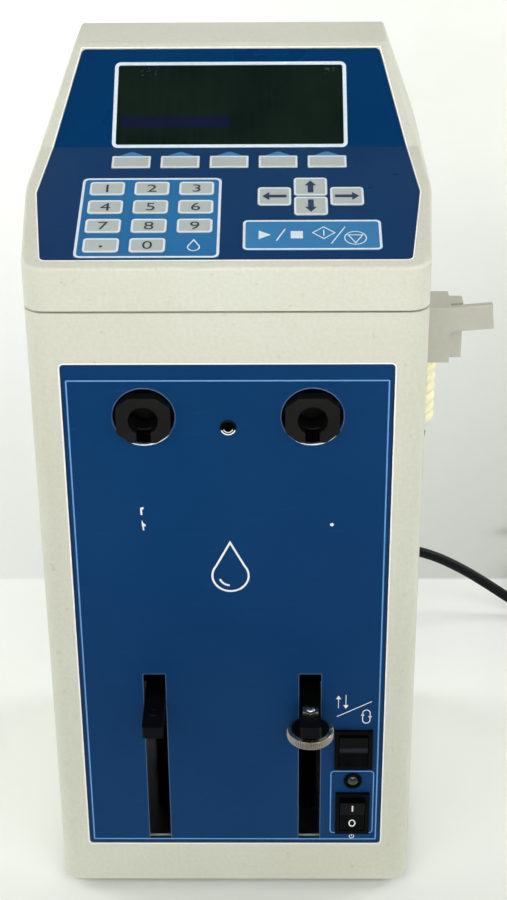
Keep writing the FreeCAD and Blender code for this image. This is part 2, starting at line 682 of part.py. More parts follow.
def make_valve_sockets():
    """Eight-sided bosses that take the valves' stems, open at the keyway below."""
    for label, side in (("left", "-"), ("right", "")):
        body = new_body(f"{label}_valve_socket")
        centre = f"{side}drive_spread"
        front = sketch_on(body, "XZ_Plane", "valve_proud")
        polygon(front, boss_corners(centre))
        pad(body, front, "valve_proud+panel_sink+panel_thick", backwards=True)
        round_edges(body, "valve_facet_round", lambda edge: runs_along(edge, BACK))
        flange = sketch_on(body, "XZ_Plane", "-panel_sink-panel_thick")
        circle(flange, centre, "valve_height", "valve_flange")
        pad(body, flange, "valve_flange_thick", backwards=True)
        barrel = sketch_on(body, "XZ_Plane", "-panel_sink-panel_thick-valve_flange_thick")
        circle(barrel, centre, "valve_height", "valve_tall/2-0.3")
        pad(body, barrel, "valve_length-valve_proud-panel_sink-panel_thick-valve_flange_thick",
            backwards=True)
        bore = sketch_on(body, "XZ_Plane", "valve_proud")
        circle(bore, centre, "valve_height", "valve_bore")
        pocket(body, bore, "valve_length")
        chamber = sketch_on(body, "XZ_Plane", "valve_proud-valve_bore_length")
        circle(chamber, centre, "valve_height", "valve_chamber")
        pocket(body, chamber, "valve_length")
        keyway = sketch_on(body, "XZ_Plane", "valve_proud")
        rectangle(keyway, f"{centre}-keyway_width/2", "valve_height-valve_tall",
                  f"{centre}+keyway_width/2", "valve_height-valve_bore/2")
        pocket(body, keyway, "valve_proud+panel_sink+panel_thick")
        keep(body, f"{label}_valve_socket")


def make_valve_drives():
    """Geared valve motors behind the sockets, with the tongued couplers they turn."""
    motors = []
    start = "valve_length-valve_proud"
    for label, side in (("left", "-"), ("right", "")):
        centre = f"{side}drive_spread"
        half = "valve_motor_size/2"
        block = box("valve_motor_block", (f"{centre}-{half}", start, f"valve_height-{half}"),
                    (f"{centre}+{half}", f"{start}+valve_motor_length",
                     f"valve_height+{half}"))
        well = cylinder("valve_shaft_well", "shaft_radius+running_gap", "valve_shaft_well",
                        (centre, start, "valve_height"), "+y")
        motors.append(cut("valve_motor", block, [well]))
        face = "valve_bore_length-valve_proud+coupler_back"
        disc = cylinder(f"{label}_coupler_disc", "coupler_radius", "coupler_thick",
                        (centre, face, "valve_height"), "+y")
        shaft = cylinder(f"{label}_coupler_shaft", "shaft_radius", "coupler_shaft",
                         (centre, f"{face}+coupler_thick-1", "valve_height"), "+y")
        low = (f"{centre}-tongue_half", f"{face}-tongue_reach",
               "valve_height-tongue_half_thick")
        high = (f"{centre}+tongue_half", f"{face}+1", "valve_height+tongue_half_thick")
        tongue = box(f"{label}_coupler_tongue", low, high)
        keep(fuse(f"{label}_coupler_fused", [disc, shaft, tongue]), f"{label}_valve_coupler")
    keep(group("valve_motor_group", motors), "valve_motors")


def make_centre_insert():
    body = new_body("centre_insert")
    sketch = sketch_on(body, "XZ_Plane", "-0.1")
    circle(sketch, "0", "insert_height", "insert_radius")
    pad(body, sketch, "panel_sink-0.1", backwards=True)
    barrel = sketch_on(body, "XZ_Plane", "-panel_sink")
    circle(barrel, "0", "insert_height", "insert_radius-0.3")
    pad(body, barrel, "insert_length-panel_sink+0.1", backwards=True)
    bore = sketch_on(body, "XZ_Plane")
    circle(bore, "0", "insert_height", "insert_bore")
    pocket(body, bore, "insert_length*1.5")
    keep(body, "centre_insert")


def make_switch(label, height, width, tall, tilt):
    """A snap-in rocker switch: its housing with a bezel, and the rocker on its pivot."""
    front = "panel_sink-bezel_thick"
    bezel = box(f"{label}_bezel", (f"switch_column-{width}/2", front, f"{height}-{tall}/2"),
                (f"switch_column+{width}/2", "panel_sink", f"{height}+{tall}/2"))
    half = f"({width}/2-switch_body_inset)"
    rise = f"({tall}/2-switch_body_inset)"
    block = box(f"{label}_block", (f"switch_column-{half}", "panel_sink", f"{height}-{rise}"),
                (f"switch_column+{half}", "switch_depth", f"{height}+{rise}"))
    half = f"({width}/2-bezel_rim)"
    rise = f"({tall}/2-bezel_rim)"
    well = box(f"{label}_well", (f"switch_column-{half}", f"{front}-1", f"{height}-{rise}"),
               (f"switch_column+{half}", "switch_depth-switch_floor", f"{height}+{rise}"))
    blank = fuse(f"{label}_blank", [bezel, block])
    keep(cut(f"{label}_cut", blank, [well]), f"{label}_switch_housing")
    make_rocker(label, height, width, tall, tilt)


def make_rocker(label, height, width, tall, tilt):
    """The rocker: a shallow V seen from the side, tilted about its pivot behind the middle."""
    body = new_body(f"{label}_rocker")
    side = f"switch_column-{width}/2+bezel_rim+rocker_side_gap"
    sketch = sketch_on(body, "YZ_Plane", side)
    half = f"({tall}/2-bezel_rim-rocker_gap)"
    end = "panel_sink-bezel_thick-rocker_end"
    dip = "panel_sink-bezel_thick+rocker_dip"
    foot = "rocker_pivot+rocker_foot"
    polygon(sketch, [(end, f"{height}+{half}"), (dip, height), (end, f"{height}-{half}"),
                     (f"{end}+rocker_edge", f"{height}-{half}"),
                     (foot, f"{height}-rocker_foot"), (foot, f"{height}+rocker_foot"),
                     (f"{end}+rocker_edge", f"{height}+{half}")])
    pad(body, sketch, f"{width}-2*bezel_rim-2*rocker_side_gap")
    pivot = Vector(0, size("rocker_pivot"), size(height))
    body.Placement = Placement(Vector(), Rotation(Vector(1, 0, 0), size(tilt)), pivot)
    keep(body, f"{label}_rocker")


def make_status_lamp():
    """The lamp: a round holder with a domed lens in it."""
    ring = cylinder("lamp_ring", "lamp_radius", "lamp_rim",
                    ("switch_column", "panel_sink-lamp_rim", "lamp_height"), "+y")
    stem = cylinder("lamp_stem", "lamp_radius-lamp_stem_inset", "lamp_stem",
                    ("switch_column", "panel_sink", "lamp_height"), "+y")
    well = cylinder("lamp_well", "lamp_lens", "20",
                    ("switch_column", "-10", "lamp_height"), "+y")
    holder = cut("lamp_holder", fuse("lamp_blank", [ring, stem]), [well])
    body = new_body("lamp_lens_body")
    sketch = sketch_on(body, "XZ_Plane", "lens_proud")
    circle(sketch, "switch_column", "lamp_height", "lamp_lens-0.1")
    pad(body, sketch, "lens_length", backwards=True)
    round_edges(body, "1.2", lambda edge: edge.Length > 6 and edge.Vertexes[0].Point.y < 0)
    keep(group("lamp_group", [holder, body]), "status_lamp")


# ---------------------------------------------------------------- syringe drives
def make_drive_frame():
    """A bent steel frame: a shelf for the motors, one for the lower bearings, and a back."""
    body = new_body("drive_frame")
    sketch = sketch_on(body, "YZ_Plane")
    floor = "foot_height+base_plate_thick"
    polygon(sketch, [("frame_front", floor), ("frame_back", floor), ("frame_back", "frame_top"),
                     ("frame_front", "frame_top"), ("frame_front", "frame_top-frame_thick"),
                     ("frame_back-frame_thick", "frame_top-frame_thick"),
                     ("frame_back-frame_thick", f"{floor}+frame_thick"),
                     ("frame_front", f"{floor}+frame_thick")])
    pad(body, sketch, "2*frame_half", both_ways=True)
    pilots = sketch_on(body, "XY_Plane", "frame_top")
    journals = sketch_on(body, "XY_Plane", f"{floor}+frame_thick")
    for side in ("-", ""):
        circle(pilots, f"{side}drive_spread", "lead_depth", "motor_pilot")
        circle(journals, f"{side}drive_spread", "lead_depth", "shaft_radius+running_gap")
    pocket(body, pilots, "frame_thick*2")
    pocket(body, journals, "frame_thick")
    keep(body, "drive_frame")


def make_syringe_drives():
    motors = []
    rods = []
    floor = "foot_height+base_plate_thick+frame_thick"
    for label, side in (("left", "-"), ("right", "")):
        centre = f"{side}drive_spread"
        half = "drive_motor_size/2"
        block = box("drive_motor_block", (f"{centre}-{half}", f"lead_depth-{half}", "frame_top"),
                    (f"{centre}+{half}", f"lead_depth+{half}", "frame_top+drive_motor_length"))
        well = cylinder("drive_shaft_well", "shaft_radius+running_gap", "motor_well",
                        (centre, "lead_depth", "frame_top"))
        motors.append(cut("drive_motor", block, [well]))
        rods.append(cylinder("guide_rod", "lead_radius", f"frame_top-frame_thick-({floor})",
                             (centre, "guide_depth", floor)))
        make_lead_screw(label, centre, floor)
        make_drive_arm(label, centre)
    keep(group("drive_motor_group", motors), "drive_motors")
    keep(group("guide_rod_group", rods), "guide_rods")


def make_lead_screw(label, centre, floor):
    """The screw, turned down at the bottom for its bearing and at the top for the motor."""
    body = new_body(f"{label}_lead_screw")
    sketch = sketch_on(body, "XZ_Plane")
    foot = f"{floor}-frame_thick+screw_float"
    shoulder = f"{floor}+screw_float"
    neck = "frame_top-frame_thick-screw_end_gap"
    top = "frame_top+screw_into_motor"
    polygon(sketch, [("0", foot), ("shaft_radius", foot), ("shaft_radius", shoulder),
                     ("lead_radius", shoulder), ("lead_radius", neck), ("shaft_radius", neck),
                     ("shaft_radius", top), ("0", top)])
    revolve(body, sketch)
    body.Placement = Placement(Vector(size(centre), size("lead_depth"), 0), Rotation())
    keep(body, f"{label}_lead_screw")


def make_drive_arm(label, centre):
    """The carriage on its screw and guide rod, with the arm that comes out of the slot."""
    body = new_body(f"{label}_drive_arm")
    block = sketch_on(body, "XY_Plane", "carriage_low")
    rectangle(block, f"{centre}-carriage_width/2", "carriage_front",
              f"{centre}+carriage_width/2", "carriage_back")
    pad(body, block, "carriage_high-carriage_low")
    arm = sketch_on(body, "XY_Plane", "arm_top-arm_thick")
    rectangle(arm, f"{centre}-arm_width/2", "-arm_reach", f"{centre}+arm_width/2",
              "carriage_front+1")
    pad(body, arm, "arm_thick")
    round_edges(body, "arm_round",
                lambda edge: runs_along(edge, UP) and edge.Vertexes[0].Point.y < 0)
    holes = sketch_on(body, "XY_Plane", "carriage_high")
    circle(holes, centre, "lead_depth", "lead_radius+running_gap")
    circle(holes, centre, "guide_depth", "lead_radius+running_gap")
    circle(holes, centre, "-arm_hole_depth", "arm_hole")
    pocket(body, holes, "carriage_high-carriage_low+1")
    keep(body, f"{label}_drive_arm")


def make_thumb_screw():
    """The knurled plunger screw under the right arm, with a nut and its tip above the arm."""
    body = new_body("plunger_thumb_screw")
    sketch = sketch_on(body, "XZ_Plane")
    neck = "arm_hole-0.1"
    nut_low = "arm_top+running_gap"
    polygon(sketch, [("0", "thumb_low"), ("thumb_radius-thumb_edge", "thumb_low"),
                     ("thumb_radius", "thumb_low+thumb_edge"),
                     ("thumb_radius", "thumb_high-thumb_edge"),
                     ("thumb_radius-thumb_edge", "thumb_high"), (neck, "thumb_high"),
                     (neck, f"{nut_low}+nut_thick"), ("tip_radius*0.6", "tip_high"),
                     ("0", "tip_high")])
    revolve(body, sketch)
    nut = sketch_on(body, "XY_Plane", nut_low)
    corners = [(f"nut_across/sqrt(3)*cos({turn}*1deg)", f"nut_across/sqrt(3)*sin({turn}*1deg)")
               for turn in range(30, 390, 60)]
    polygon(nut, corners)
    pad(body, nut, "nut_thick")
    knurl = sketch_on(body, "XY_Plane", "thumb_high+1")
    teeth = int(size("thumb_teeth"))
    reach = "(thumb_radius+flute_out)"
    for tooth in range(teeth):
        turn = f"{360 / teeth * tooth}*1deg"
        circle(knurl, f"{reach}*cos({turn})", f"{reach}*sin({turn})", "flute_radius")
    pocket(body, knurl, "thumb_high-thumb_low+2")
    body.Placement = Placement(Vector(size("drive_spread"), -size("arm_hole_depth"), 0),
                               Rotation())
    keep(body, "plunger_thumb_screw")


# ---------------------------------------------------------------- inside and back
# the board's parts: middle across and up, then width, height and depth
CHIPS = [(-40, 200, 26, 12, 4), (-40, 150, 40, 16, 5), (30, 205, 30, 24, 6),
         (30, 150, 34, 30, 10), (-30, 60, 50, 44, 26), (34, 40, 20, 30, 14)]


def make_control_board():
    """The main board, with its chips, its transformer and the probe jack at the back."""
    face = "board_face"
    parts = [box("board", ("-board_half", face, "board_low"),
                 ("board_half", f"{face}+board_thick", "board_high"))]
    for across, up, wide, tall, deep in CHIPS:
        parts.append(box("chip", (f"{across}-{wide}/2", f"{face}-{deep}", f"{up}-{tall}/2"),
                         (f"{across}+{wide}/2", f"{face}+0.2", f"{up}+{tall}/2")))
    jack = cylinder("jack_barrel", "jack_hole-0.3", f"body_depth-({face})-1.4",
                    ("jack_across", f"{face}+1", "jack_height"), "+y")
    foot = box("jack_foot", ("jack_foot_left", face, "jack_height-jack_foot_half"),
               ("jack_across+jack_foot_half", f"{face}+jack_foot_deep",
                "jack_height+jack_foot_half"))
    well = cylinder("jack_well", "jack_pin+0.3", "jack_well_deep",
                    ("jack_across", "body_depth-10", "jack_height"), "+y")
    blank = fuse("board_fused", parts + [foot, jack])
    keep(cut("board_cut", blank, [well]), "control_board")


def make_probe_holder():
    """The clip on the right wall that holds the hand probe."""
    wall = "side_half"
    block = box("holder_block", (wall, "holder_front", "holder_low"),
                (f"{wall}+holder_width", "holder_back", "holder_high"))
    leaf = box("holder_leaf",
               (f"{wall}+holder_width-1", "holder_front+leaf_front", "holder_low"),
               (f"{wall}+holder_wall_reach", "holder_front+leaf_back", "holder_high"))
    arm = doc.addObject("Part::Box", "holder_arm")
    bind(arm, Length="(holder_arm_reach-holder_width+1)", Width="holder_arm_thick",
         Height="holder_arm_tall")
    arm.Placement = Placement(
        Vector(size("side_half+holder_width-1"), size("holder_front"),
               size("holder_high-holder_arm_tall-0.2")),
        Rotation(Vector(0, -1, 0), size("holder_arm_rise")))
    grip = cone("holder_grip", "grip_root", "grip_tip", "grip_length",
                ("grip_across", "holder_back", "grip_height"), "+y")
    keep(fuse("holder_fused", [block, leaf, arm, grip]), "probe_holder")


# ---------------------------------------------------------------- cords
def tube_route(points):
    """A wire of straight runs and tangent arcs through hand-chosen points; prints the radii."""
    edges = []
    radii = []
    start = points[0]
    for before, here, after in zip(points, points[1:], points[2:]):
        into = (here - before).normalize()
        out = (after - here).normalize()
        turn = into.getAngle(out)
        shorter = min((here - before).Length, (after - here).Length)
        radius = 0.45 * shorter / math.tan(turn / 2)
        reach = 0.45 * shorter
        first = here - into * reach
        last = here + out * reach
        inward = (out - into).normalize()
        middle = here + inward * (math.hypot(radius, reach) - radius)
        edges.append(Part.LineSegment(start, first).toShape())
        edges.append(Part.Arc(first, middle, last).toShape())
        radii.append(round(radius, 1))
        start = last
    edges.append(Part.LineSegment(start, points[-1]).toShape())
    return Part.Wire(edges), radii


def tube(label, points, radius):
    """A round cord along a route, checked against its section times its length."""
    wire, radii = tube_route(points)
    ring = Part.Circle(points[0], points[1] - points[0], radius)
    profile = Part.Wire([ring.toShape()])
    solid = wire.makePipeShell([profile], True, True)
    expected = math.pi * radius ** 2 * wire.Length
    print(f"{label}: length {wire.Length:.1f}, radii {radii}, "
          f"volume {solid.Volume:.0f} of {expected:.0f}")
    thing = doc.addObject("Part::Feature", label)
    thing.Shape = solid
    return thing


SUPPLY_POINTS = [(40, 176, 66), (40.5, 190, 65.6), (50, 202, 60.5), (66, 204.5, 53),
                 (82, 204, 46.3), (99, 208, 39.6), (115.7, 213, 27.9), (131.5, 216, 15.4),
                 (147.5, 211.5, 5.7), (160, 208.3, 2.75), (173, 207.6, 2.7)]
SUPPLY_END = [(219.5, 266.5, 8), (217.5, 275, 7.6), (217, 283, 7.2), (216, 291, 6.8),
              (211.5, 298, 6.6), (203.5, 300.5, 6.5)]


def make_supply_cord():
    """The low-voltage lead: gland, free length, put-away coil and plug."""
    gland = cylinder("gland_flange", "gland_radius", "gland_thick",
                     ("gland_across", "body_depth", "gland_height"), "+y")
    neck = cylinder("gland_neck", "gland_neck", "gland_neck_deep+1",
                    ("gland_across", "body_depth-gland_neck_deep", "gland_height"), "+y")
    taper = cone("gland_taper", "gland_relief_root", "gland_relief_tip", "gland_relief",
                 ("gland_across", "body_depth+gland_thick", "gland_height"), "+y")
    keep(fuse("gland_fused", [gland, neck, taper]), "supply_gland")
    ends = [tube("supply_tube", [Vector(*point) for point in points], size("supply_radius"))
            for points in (SUPPLY_POINTS, SUPPLY_END)]
    keep(group("supply_tubes", ends), "supply_cord")
    coil = new_body("supply_cord_coil")
    sketch = sketch_on(coil, "XZ_Plane")
    inner = "supply_coil_middle-4*supply_radius"
    outer = "supply_coil_middle+4*supply_radius"
    rectangle(sketch, inner, "0", outer, "4*supply_radius")
    revolve(coil, sketch)
    round_edges(coil, "supply_radius*0.9", lambda edge: True)
    coil.Placement = Placement(
        Vector(size("supply_coil_across"), size("supply_coil_depth"), 0), Rotation())
    keep(coil, "supply_cord_coil")
    make_supply_plug()


def make_supply_plug():
    """A round in-line plug that lies beside the coil."""
    depth = "supply_coil_depth+supply_coil_middle+plug_behind"
    back = "supply_coil_across+plug_back"
    shell = cylinder("plug_shell", "plug_radius", "plug_length",
                     (f"{back}-plug_length", depth, "plug_radius"), "+x")
    nose = cylinder("plug_nose", "nose_radius", "nose_length",
                    (f"{back}-plug_length-nose_length", depth, "plug_radius"), "+x")
    relief = cone("plug_relief", "relief_root", "relief_tip", "relief_length",
                  (back, depth, "plug_radius"), "+x")
    keep(fuse("plug_fused", [shell, nose, relief]), "supply_plug")


BOOT_KNEE = (83.5, 157.5, 128)
PROBE_LOW = [(85.2, 158, 138.6), (85.7, 158, 140.6), (87.4, 157.6, 143.5)]
PROBE_HIGH = [(83.6, 156.5, 193), (83.6, 156.2, 199), (83.8, 151, 205.4), (84, 141, 208),
              (84, 129, 208)]


def make_probe_cord():
    """The curly lead from the probe jack at the back up to the holder."""
    centre = ("jack_across", "body_depth", "jack_height")
    barrel = cylinder("probe_barrel", "jack_radius", "probe_plug_length", centre, "+y")
    pin = cylinder("probe_pin", "probe_pin", "probe_pin_deep",
                   (centre[0], "body_depth-probe_pin_deep", centre[2]), "+y")
    start = Vector(size("jack_across"), PROBE_LOW[0][1] - size("boot_inset"),
                   size("jack_height"))
    knee = Vector(*BOOT_KNEE)
    end = Vector(*PROBE_LOW[0])
    bend = doc.addObject("Part::Feature", "boot_bend")
    bend.Shape = Part.makeSphere(size("boot_knee"), knee)
    pieces = [barrel, pin, bend]
    for first, last, wide, narrow in ((start, knee, "boot_root", "boot_knee"),
                                      (knee, end, "boot_knee", "boot_tip")):
        way = last - first
        taper = doc.addObject("Part::Feature", "boot_taper")
        taper.Shape = Part.makeCone(size(wide), size(narrow), way.Length, first, way)
        pieces.append(taper)
    keep(fuse("probe_plug_fused", pieces), "probe_plug")
    ends = [tube("probe_tail", [Vector(*point) for point in points], size("probe_radius"))
            for points in (PROBE_LOW, PROBE_HIGH)]
    keep(group("probe_tails", ends), "probe_cord")
    coil = new_body("probe_cord_coil")
    sketch = sketch_on(coil, "XY_Plane", "probe_coil_low")
    circle(sketch, "probe_coil_across", "probe_coil_depth", "probe_coil_radius")
    pad(coil, sketch, "probe_coil_high-probe_coil_low")
    keep(coil, "probe_cord_coil")


# ---------------------------------------------------------------- build, check, write
def check_document():
    """Stop on a failed feature, a cut that removed nothing, or a bad solid."""
    for thing in doc.Objects:
        if "Invalid" in thing.State or "Error" in thing.State:
            raise RuntimeError(f"{thing.Label} failed: {thing.State}")
        if thing.TypeId == "PartDesign::Pocket":
            before = thing.BaseFeature.Shape.Volume
            if before - thing.Shape.Volume < 1e-3:
                raise RuntimeError(f"{thing.Label} cut nothing")
    for label, thing in nodes.items():
        shape = thing.Shape
        if shape.isNull() or not shape.isValid() or not shape.Solids:
            raise RuntimeError(f"{label} is not a valid solid")


ON_CORDS = ("supply_cord", "supply_cord_coil", "supply_plug", "supply_gland", "probe_cord",
            "probe_cord_coil", "probe_plug")


def move_to_origin():
    """Put the origin on the table under the middle of the object's own box."""
    own = FreeCAD.BoundBox()
    for label, thing in nodes.items():
        if label not in ON_CORDS:
            own.add(thing.Shape.optimalBoundingBox(False))
    shift = Vector(-own.Center.x, -own.Center.y, -own.ZMin)
    for thing in nodes.values():
        thing.Placement.Base = thing.Placement.Base + shift
    print(f"moved by {shift.x:.4f}, {shift.y:.4f}, {shift.z:.4f}")


def write_parts():
    os.makedirs("parts", exist_ok=True)
    for name in os.listdir("parts"):
        os.remove(os.path.join("parts", name))
    for label, thing in nodes.items():
        thing.Shape.exportStep(os.path.join("parts", f"{label}.step"))


make_lower_case()
make_base_plate()
make_feet()
make_rear_panel()
make_case_screws()
make_head_case()
make_keypad_overlay()
make_keys()
make_keypad_board()
make_display()
make_front_panel()
make_valve_sockets()
make_valve_drives()
make_centre_insert()
make_switch("prime", "prime_height", "prime_width", "prime_tall", "0")
make_switch("power", "power_height", "power_width", "power_tall", "power_tilt")
make_status_lamp()
make_drive_frame()
make_syringe_drives()
make_thumb_screw()
make_control_board()
make_probe_holder()
make_supply_cord()
make_probe_cord()
doc.recompute()
check_document()
move_to_origin()
write_parts()
print(f"{len(nodes)} parts")
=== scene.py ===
import math

import bmesh
import bpy
from mathutils import Matrix, Vector


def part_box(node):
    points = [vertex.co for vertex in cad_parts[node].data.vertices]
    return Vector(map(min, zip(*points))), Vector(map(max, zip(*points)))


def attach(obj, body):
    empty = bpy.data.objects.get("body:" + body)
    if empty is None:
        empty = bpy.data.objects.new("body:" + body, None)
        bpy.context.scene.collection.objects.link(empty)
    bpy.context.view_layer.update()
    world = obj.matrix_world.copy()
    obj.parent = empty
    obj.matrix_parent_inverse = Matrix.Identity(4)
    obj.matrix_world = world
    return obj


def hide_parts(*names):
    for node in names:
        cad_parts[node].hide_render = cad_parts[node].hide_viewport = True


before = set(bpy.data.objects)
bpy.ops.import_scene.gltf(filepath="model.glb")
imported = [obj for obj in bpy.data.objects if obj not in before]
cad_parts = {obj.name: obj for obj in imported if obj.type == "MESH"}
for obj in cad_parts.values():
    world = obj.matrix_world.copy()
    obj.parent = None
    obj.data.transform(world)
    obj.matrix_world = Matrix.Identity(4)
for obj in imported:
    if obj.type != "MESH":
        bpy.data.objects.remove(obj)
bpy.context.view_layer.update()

# Lengths below are in millimetres on the case: x across from the middle, y back from the
# front face, z up from the table. Blender's own values are in metres.
MM = 0.001
X_AXIS = Vector((1, 0, 0))
Z_AXIS = Vector((0, 0, 1))

case_low, case_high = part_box("lower_case")
CASE_MIDDLE = (case_low.x + case_high.x) / 2
CASE_FRONT = case_low.y


def at(x, y, z):
    """A point of the case, in the frame's metres."""
    return Vector((CASE_MIDDLE + x * MM, CASE_FRONT + y * MM, z * MM))


def show(name, data):
    """A new object in the scene."""
    thing = bpy.data.objects.new(name, data)
    bpy.context.scene.collection.objects.link(thing)
    return thing


# -------- planes that carry print
def plane(origin, up, across=X_AXIS):
    """Local x across, y up the face, z out of it."""
    out = across.cross(up)
    return Matrix.Translation(origin) @ Matrix((across, up, out)).transposed().to_4x4()


def slope(degrees):
    """The uphill direction of a face that rises towards the back."""
    turn = math.radians(degrees)
    return Vector((0, math.cos(turn), math.sin(turn)))


LIP_HEIGHT = 284.6
KEYPAD_SLOPE = 15
KEYPAD_RUN = 77.5
DISPLAY_SLOPE = 38
SKIN_SINK = 0.2
PANEL_SINK = 0.5
DRIVE_SPREAD = 31.3
SWITCH_COLUMN = 49.3

# How thick ink is, and how far it lies above the face that it is printed on.
INK = 0.05
LIFT = 0.01
THIN_LIFT = 0.005
FILM_LIFT = THIN_LIFT - SKIN_SINK

FOLD = KEYPAD_RUN * slope(KEYPAD_SLOPE) + Vector((0, 0, LIP_HEIGHT))
PANEL_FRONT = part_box("front_panel")[0].y
FRONT_PLANE = plane(Vector((CASE_MIDDLE, PANEL_FRONT, 0)), Z_AXIS)
KEYPAD_PLANE = plane(at(0, 0, LIP_HEIGHT), slope(KEYPAD_SLOPE))
DISPLAY_PLANE = plane(at(*FOLD), slope(DISPLAY_SLOPE))


# -------- materials
def srgb(red, green, blue):
    """A colour of 0 to 255 as the linear values that nodes take."""
    def linear(value):
        value /= 255
        return value / 12.92 if value <= 0.04045 else ((value + 0.055) / 1.055) ** 2.4
    return (linear(red), linear(green), linear(blue), 1)


def shaded(colour, factor):
    return tuple(min(1, part * factor) for part in colour[:3]) + (1,)


class Surface:
    """A Principled material and the nodes that feed it."""

    def __init__(self, name, roughness=0.5, metallic=0.0, specular=0.5, coat=0.0):
        self.material = bpy.data.materials.new(name)
        self.material.use_nodes = True
        self.tree = self.material.node_tree
        self.shader = self.tree.nodes["Principled BSDF"]
        self.shader.inputs["Roughness"].default_value = roughness
        self.shader.inputs["Metallic"].default_value = metallic
        self.shader.inputs["Specular IOR Level"].default_value = specular
        self.shader.inputs["Coat Weight"].default_value = coat
        self.shader.inputs["Coat Roughness"].default_value = 0.08
        self.place = self.node("ShaderNodeTexCoord").outputs["Object"]

    def node(self, kind, **settings):
        made = self.tree.nodes.new(kind)
        for key, value in settings.items():
            setattr(made, key, value)
        return made

    def link(self, source, target):
        self.tree.links.new(source, target)

    def noise(self, scale, detail=2.0, stretch=(1, 1, 1), place=None):
        """Noise of a given scale per metre; a stretch makes streaks."""
        mapping = self.node("ShaderNodeMapping")
        mapping.inputs["Scale"].default_value = stretch
        self.link(place or self.place, mapping.inputs["Vector"])
        made = self.node("ShaderNodeTexNoise")
        made.inputs["Scale"].default_value = scale
        made.inputs["Detail"].default_value = detail
        self.link(mapping.outputs["Vector"], made.inputs["Vector"])
        return made.outputs["Fac"]

    def span(self, value, low, high, start=0.35, end=0.65):
        """A value of start to end spread over low to high."""
        made = self.node("ShaderNodeMapRange")
        for key, number in (("From Min", start), ("From Max", end), ("To Min", low),
                            ("To Max", high)):
            made.inputs[key].default_value = number
        self.link(value, made.inputs["Value"])
        return made.outputs["Result"]

    def mix(self, factor, first, second):
        """One colour fading to another; each is a colour or a socket."""
        made = self.node("ShaderNodeMix", data_type="RGBA")
        self.link(factor, made.inputs["Factor"])
        for socket, value in ((made.inputs[6], first), (made.inputs[7], second)):
            if isinstance(value, tuple):
                socket.default_value = value
            else:
                self.link(value, socket)
        return made.outputs[2]

    def math(self, kind, first, second):
        made = self.node("ShaderNodeMath", operation=kind)
        for socket, value in zip(made.inputs, (first, second)):
            if isinstance(value, (int, float)):
                socket.default_value = value
            else:
                self.link(value, socket)
        return made.outputs[0]

    def on_plane(self, matrix):
        """The place of a point on one of the printed planes."""
        mapping = self.node("ShaderNodeMapping", vector_type="TEXTURE")
        mapping.inputs["Location"].default_value = matrix.translation
        mapping.inputs["Rotation"].default_value = matrix.to_euler()
        self.link(self.place, mapping.inputs["Vector"])
        return mapping.outputs["Vector"]

    def box_mask(self, place, low, high, soft):
        """1 inside a rectangle of the plane, in millimetres, falling to 0 over a soft edge."""
        axes = self.node("ShaderNodeSeparateXYZ")
        self.link(place, axes.inputs["Vector"])
        mask = None
        for axis in (0, 1):
            middle = (low[axis] + high[axis]) / 2 * MM
            half = (high[axis] - low[axis]) / 2 * MM
            away = self.math("SUBTRACT", axes.outputs[axis], middle)
            inside = self.math("SUBTRACT", half, self.math("ABSOLUTE", away, 0))
            side = self.span(inside, 0, 1, 0, soft * MM)
            mask = side if mask is None else self.math("MULTIPLY", mask, side)
        return mask

    def colour(self, socket):
        self.link(socket, self.shader.inputs["Base Color"])

    def roughen(self, low, high, scale):
        self.link(self.span(self.noise(scale, 3), low, high), self.shader.inputs["Roughness"])

    def bump(self, height, depth, strength=1.0):
        made = self.node("ShaderNodeBump")
        made.inputs["Distance"].default_value = depth * MM
        made.inputs["Strength"].default_value = strength
        self.link(height, made.inputs["Height"])
        self.link(made.outputs["Normal"], self.shader.inputs["Normal"])


def moulded(name, colour, roughness=(0.45, 0.6), grain=900, depth=0.02, cloud=0.05,
            specular=0.5):
    """Moulded plastic: faint clouding, a fine grain and uneven gloss."""
    look = Surface(name, specular=specular)
    wide = look.span(look.noise(14, 4), 0, 1)
    fine = look.span(look.noise(420, 2), 0, 1)
    clouds = look.mix(wide, shaded(colour, 1 - cloud), shaded(colour, 1 + cloud))
    look.colour(look.mix(look.math("MULTIPLY", fine, 0.5), clouds, shaded(colour, 1 - cloud)))
    look.roughen(*roughness, scale=35)
    look.bump(look.noise(grain, 2), depth)
    return look.material


def case_plastic():
    """Cream structural plastic with age: yellower patches, specks and a pebbled skin."""
    base = srgb(215, 216, 200)
    look = Surface("case_plastic_worn", specular=0.4)
    patches = look.span(look.noise(9, 5), 0, 1)
    body = look.mix(patches, base, srgb(209, 209, 191))
    speck = look.span(look.noise(260, 5), 0, 1, 0.66, 0.74)
    body = look.mix(look.math("MULTIPLY", speck, 0.35), body, srgb(170, 168, 150))
    grey = look.span(look.noise(700, 2), 0, 0.22)
    look.colour(look.mix(grey, body, srgb(189, 189, 173)))
    look.roughen(0.42, 0.58, scale=24)
    look.bump(look.noise(820, 3), 0.03, 0.6)
    return look.material


def front_blue():
    """Screen-printed blue sheet: a slightly mottled satin with hairline scuffs."""
    look = Surface("front_panel_blue", specular=0.1)
    deep = srgb(6, 54, 99)
    patches = look.span(look.noise(11, 4), 0, 1)
    body = look.mix(patches, deep, srgb(10, 58, 105))
    hair = look.span(look.noise(60, 6, (1, 1, 9)), 0, 1, 0.64, 0.8)
    body = look.mix(look.math("MULTIPLY", hair, 0.15), body, srgb(52, 92, 136))
    dust = look.span(look.noise(1300, 2), 0, 1, 0.7, 0.78)
    look.colour(look.mix(look.math("MULTIPLY", dust, 0.2), body, srgb(90, 120, 150)))
    look.roughen(0.34, 0.5, scale=20)
    look.bump(look.noise(1500, 2), 0.012)
    return look.material


BOX_LOW = (-54.8, 6.4)
BOX_HIGH = (-2.5, 56.4)


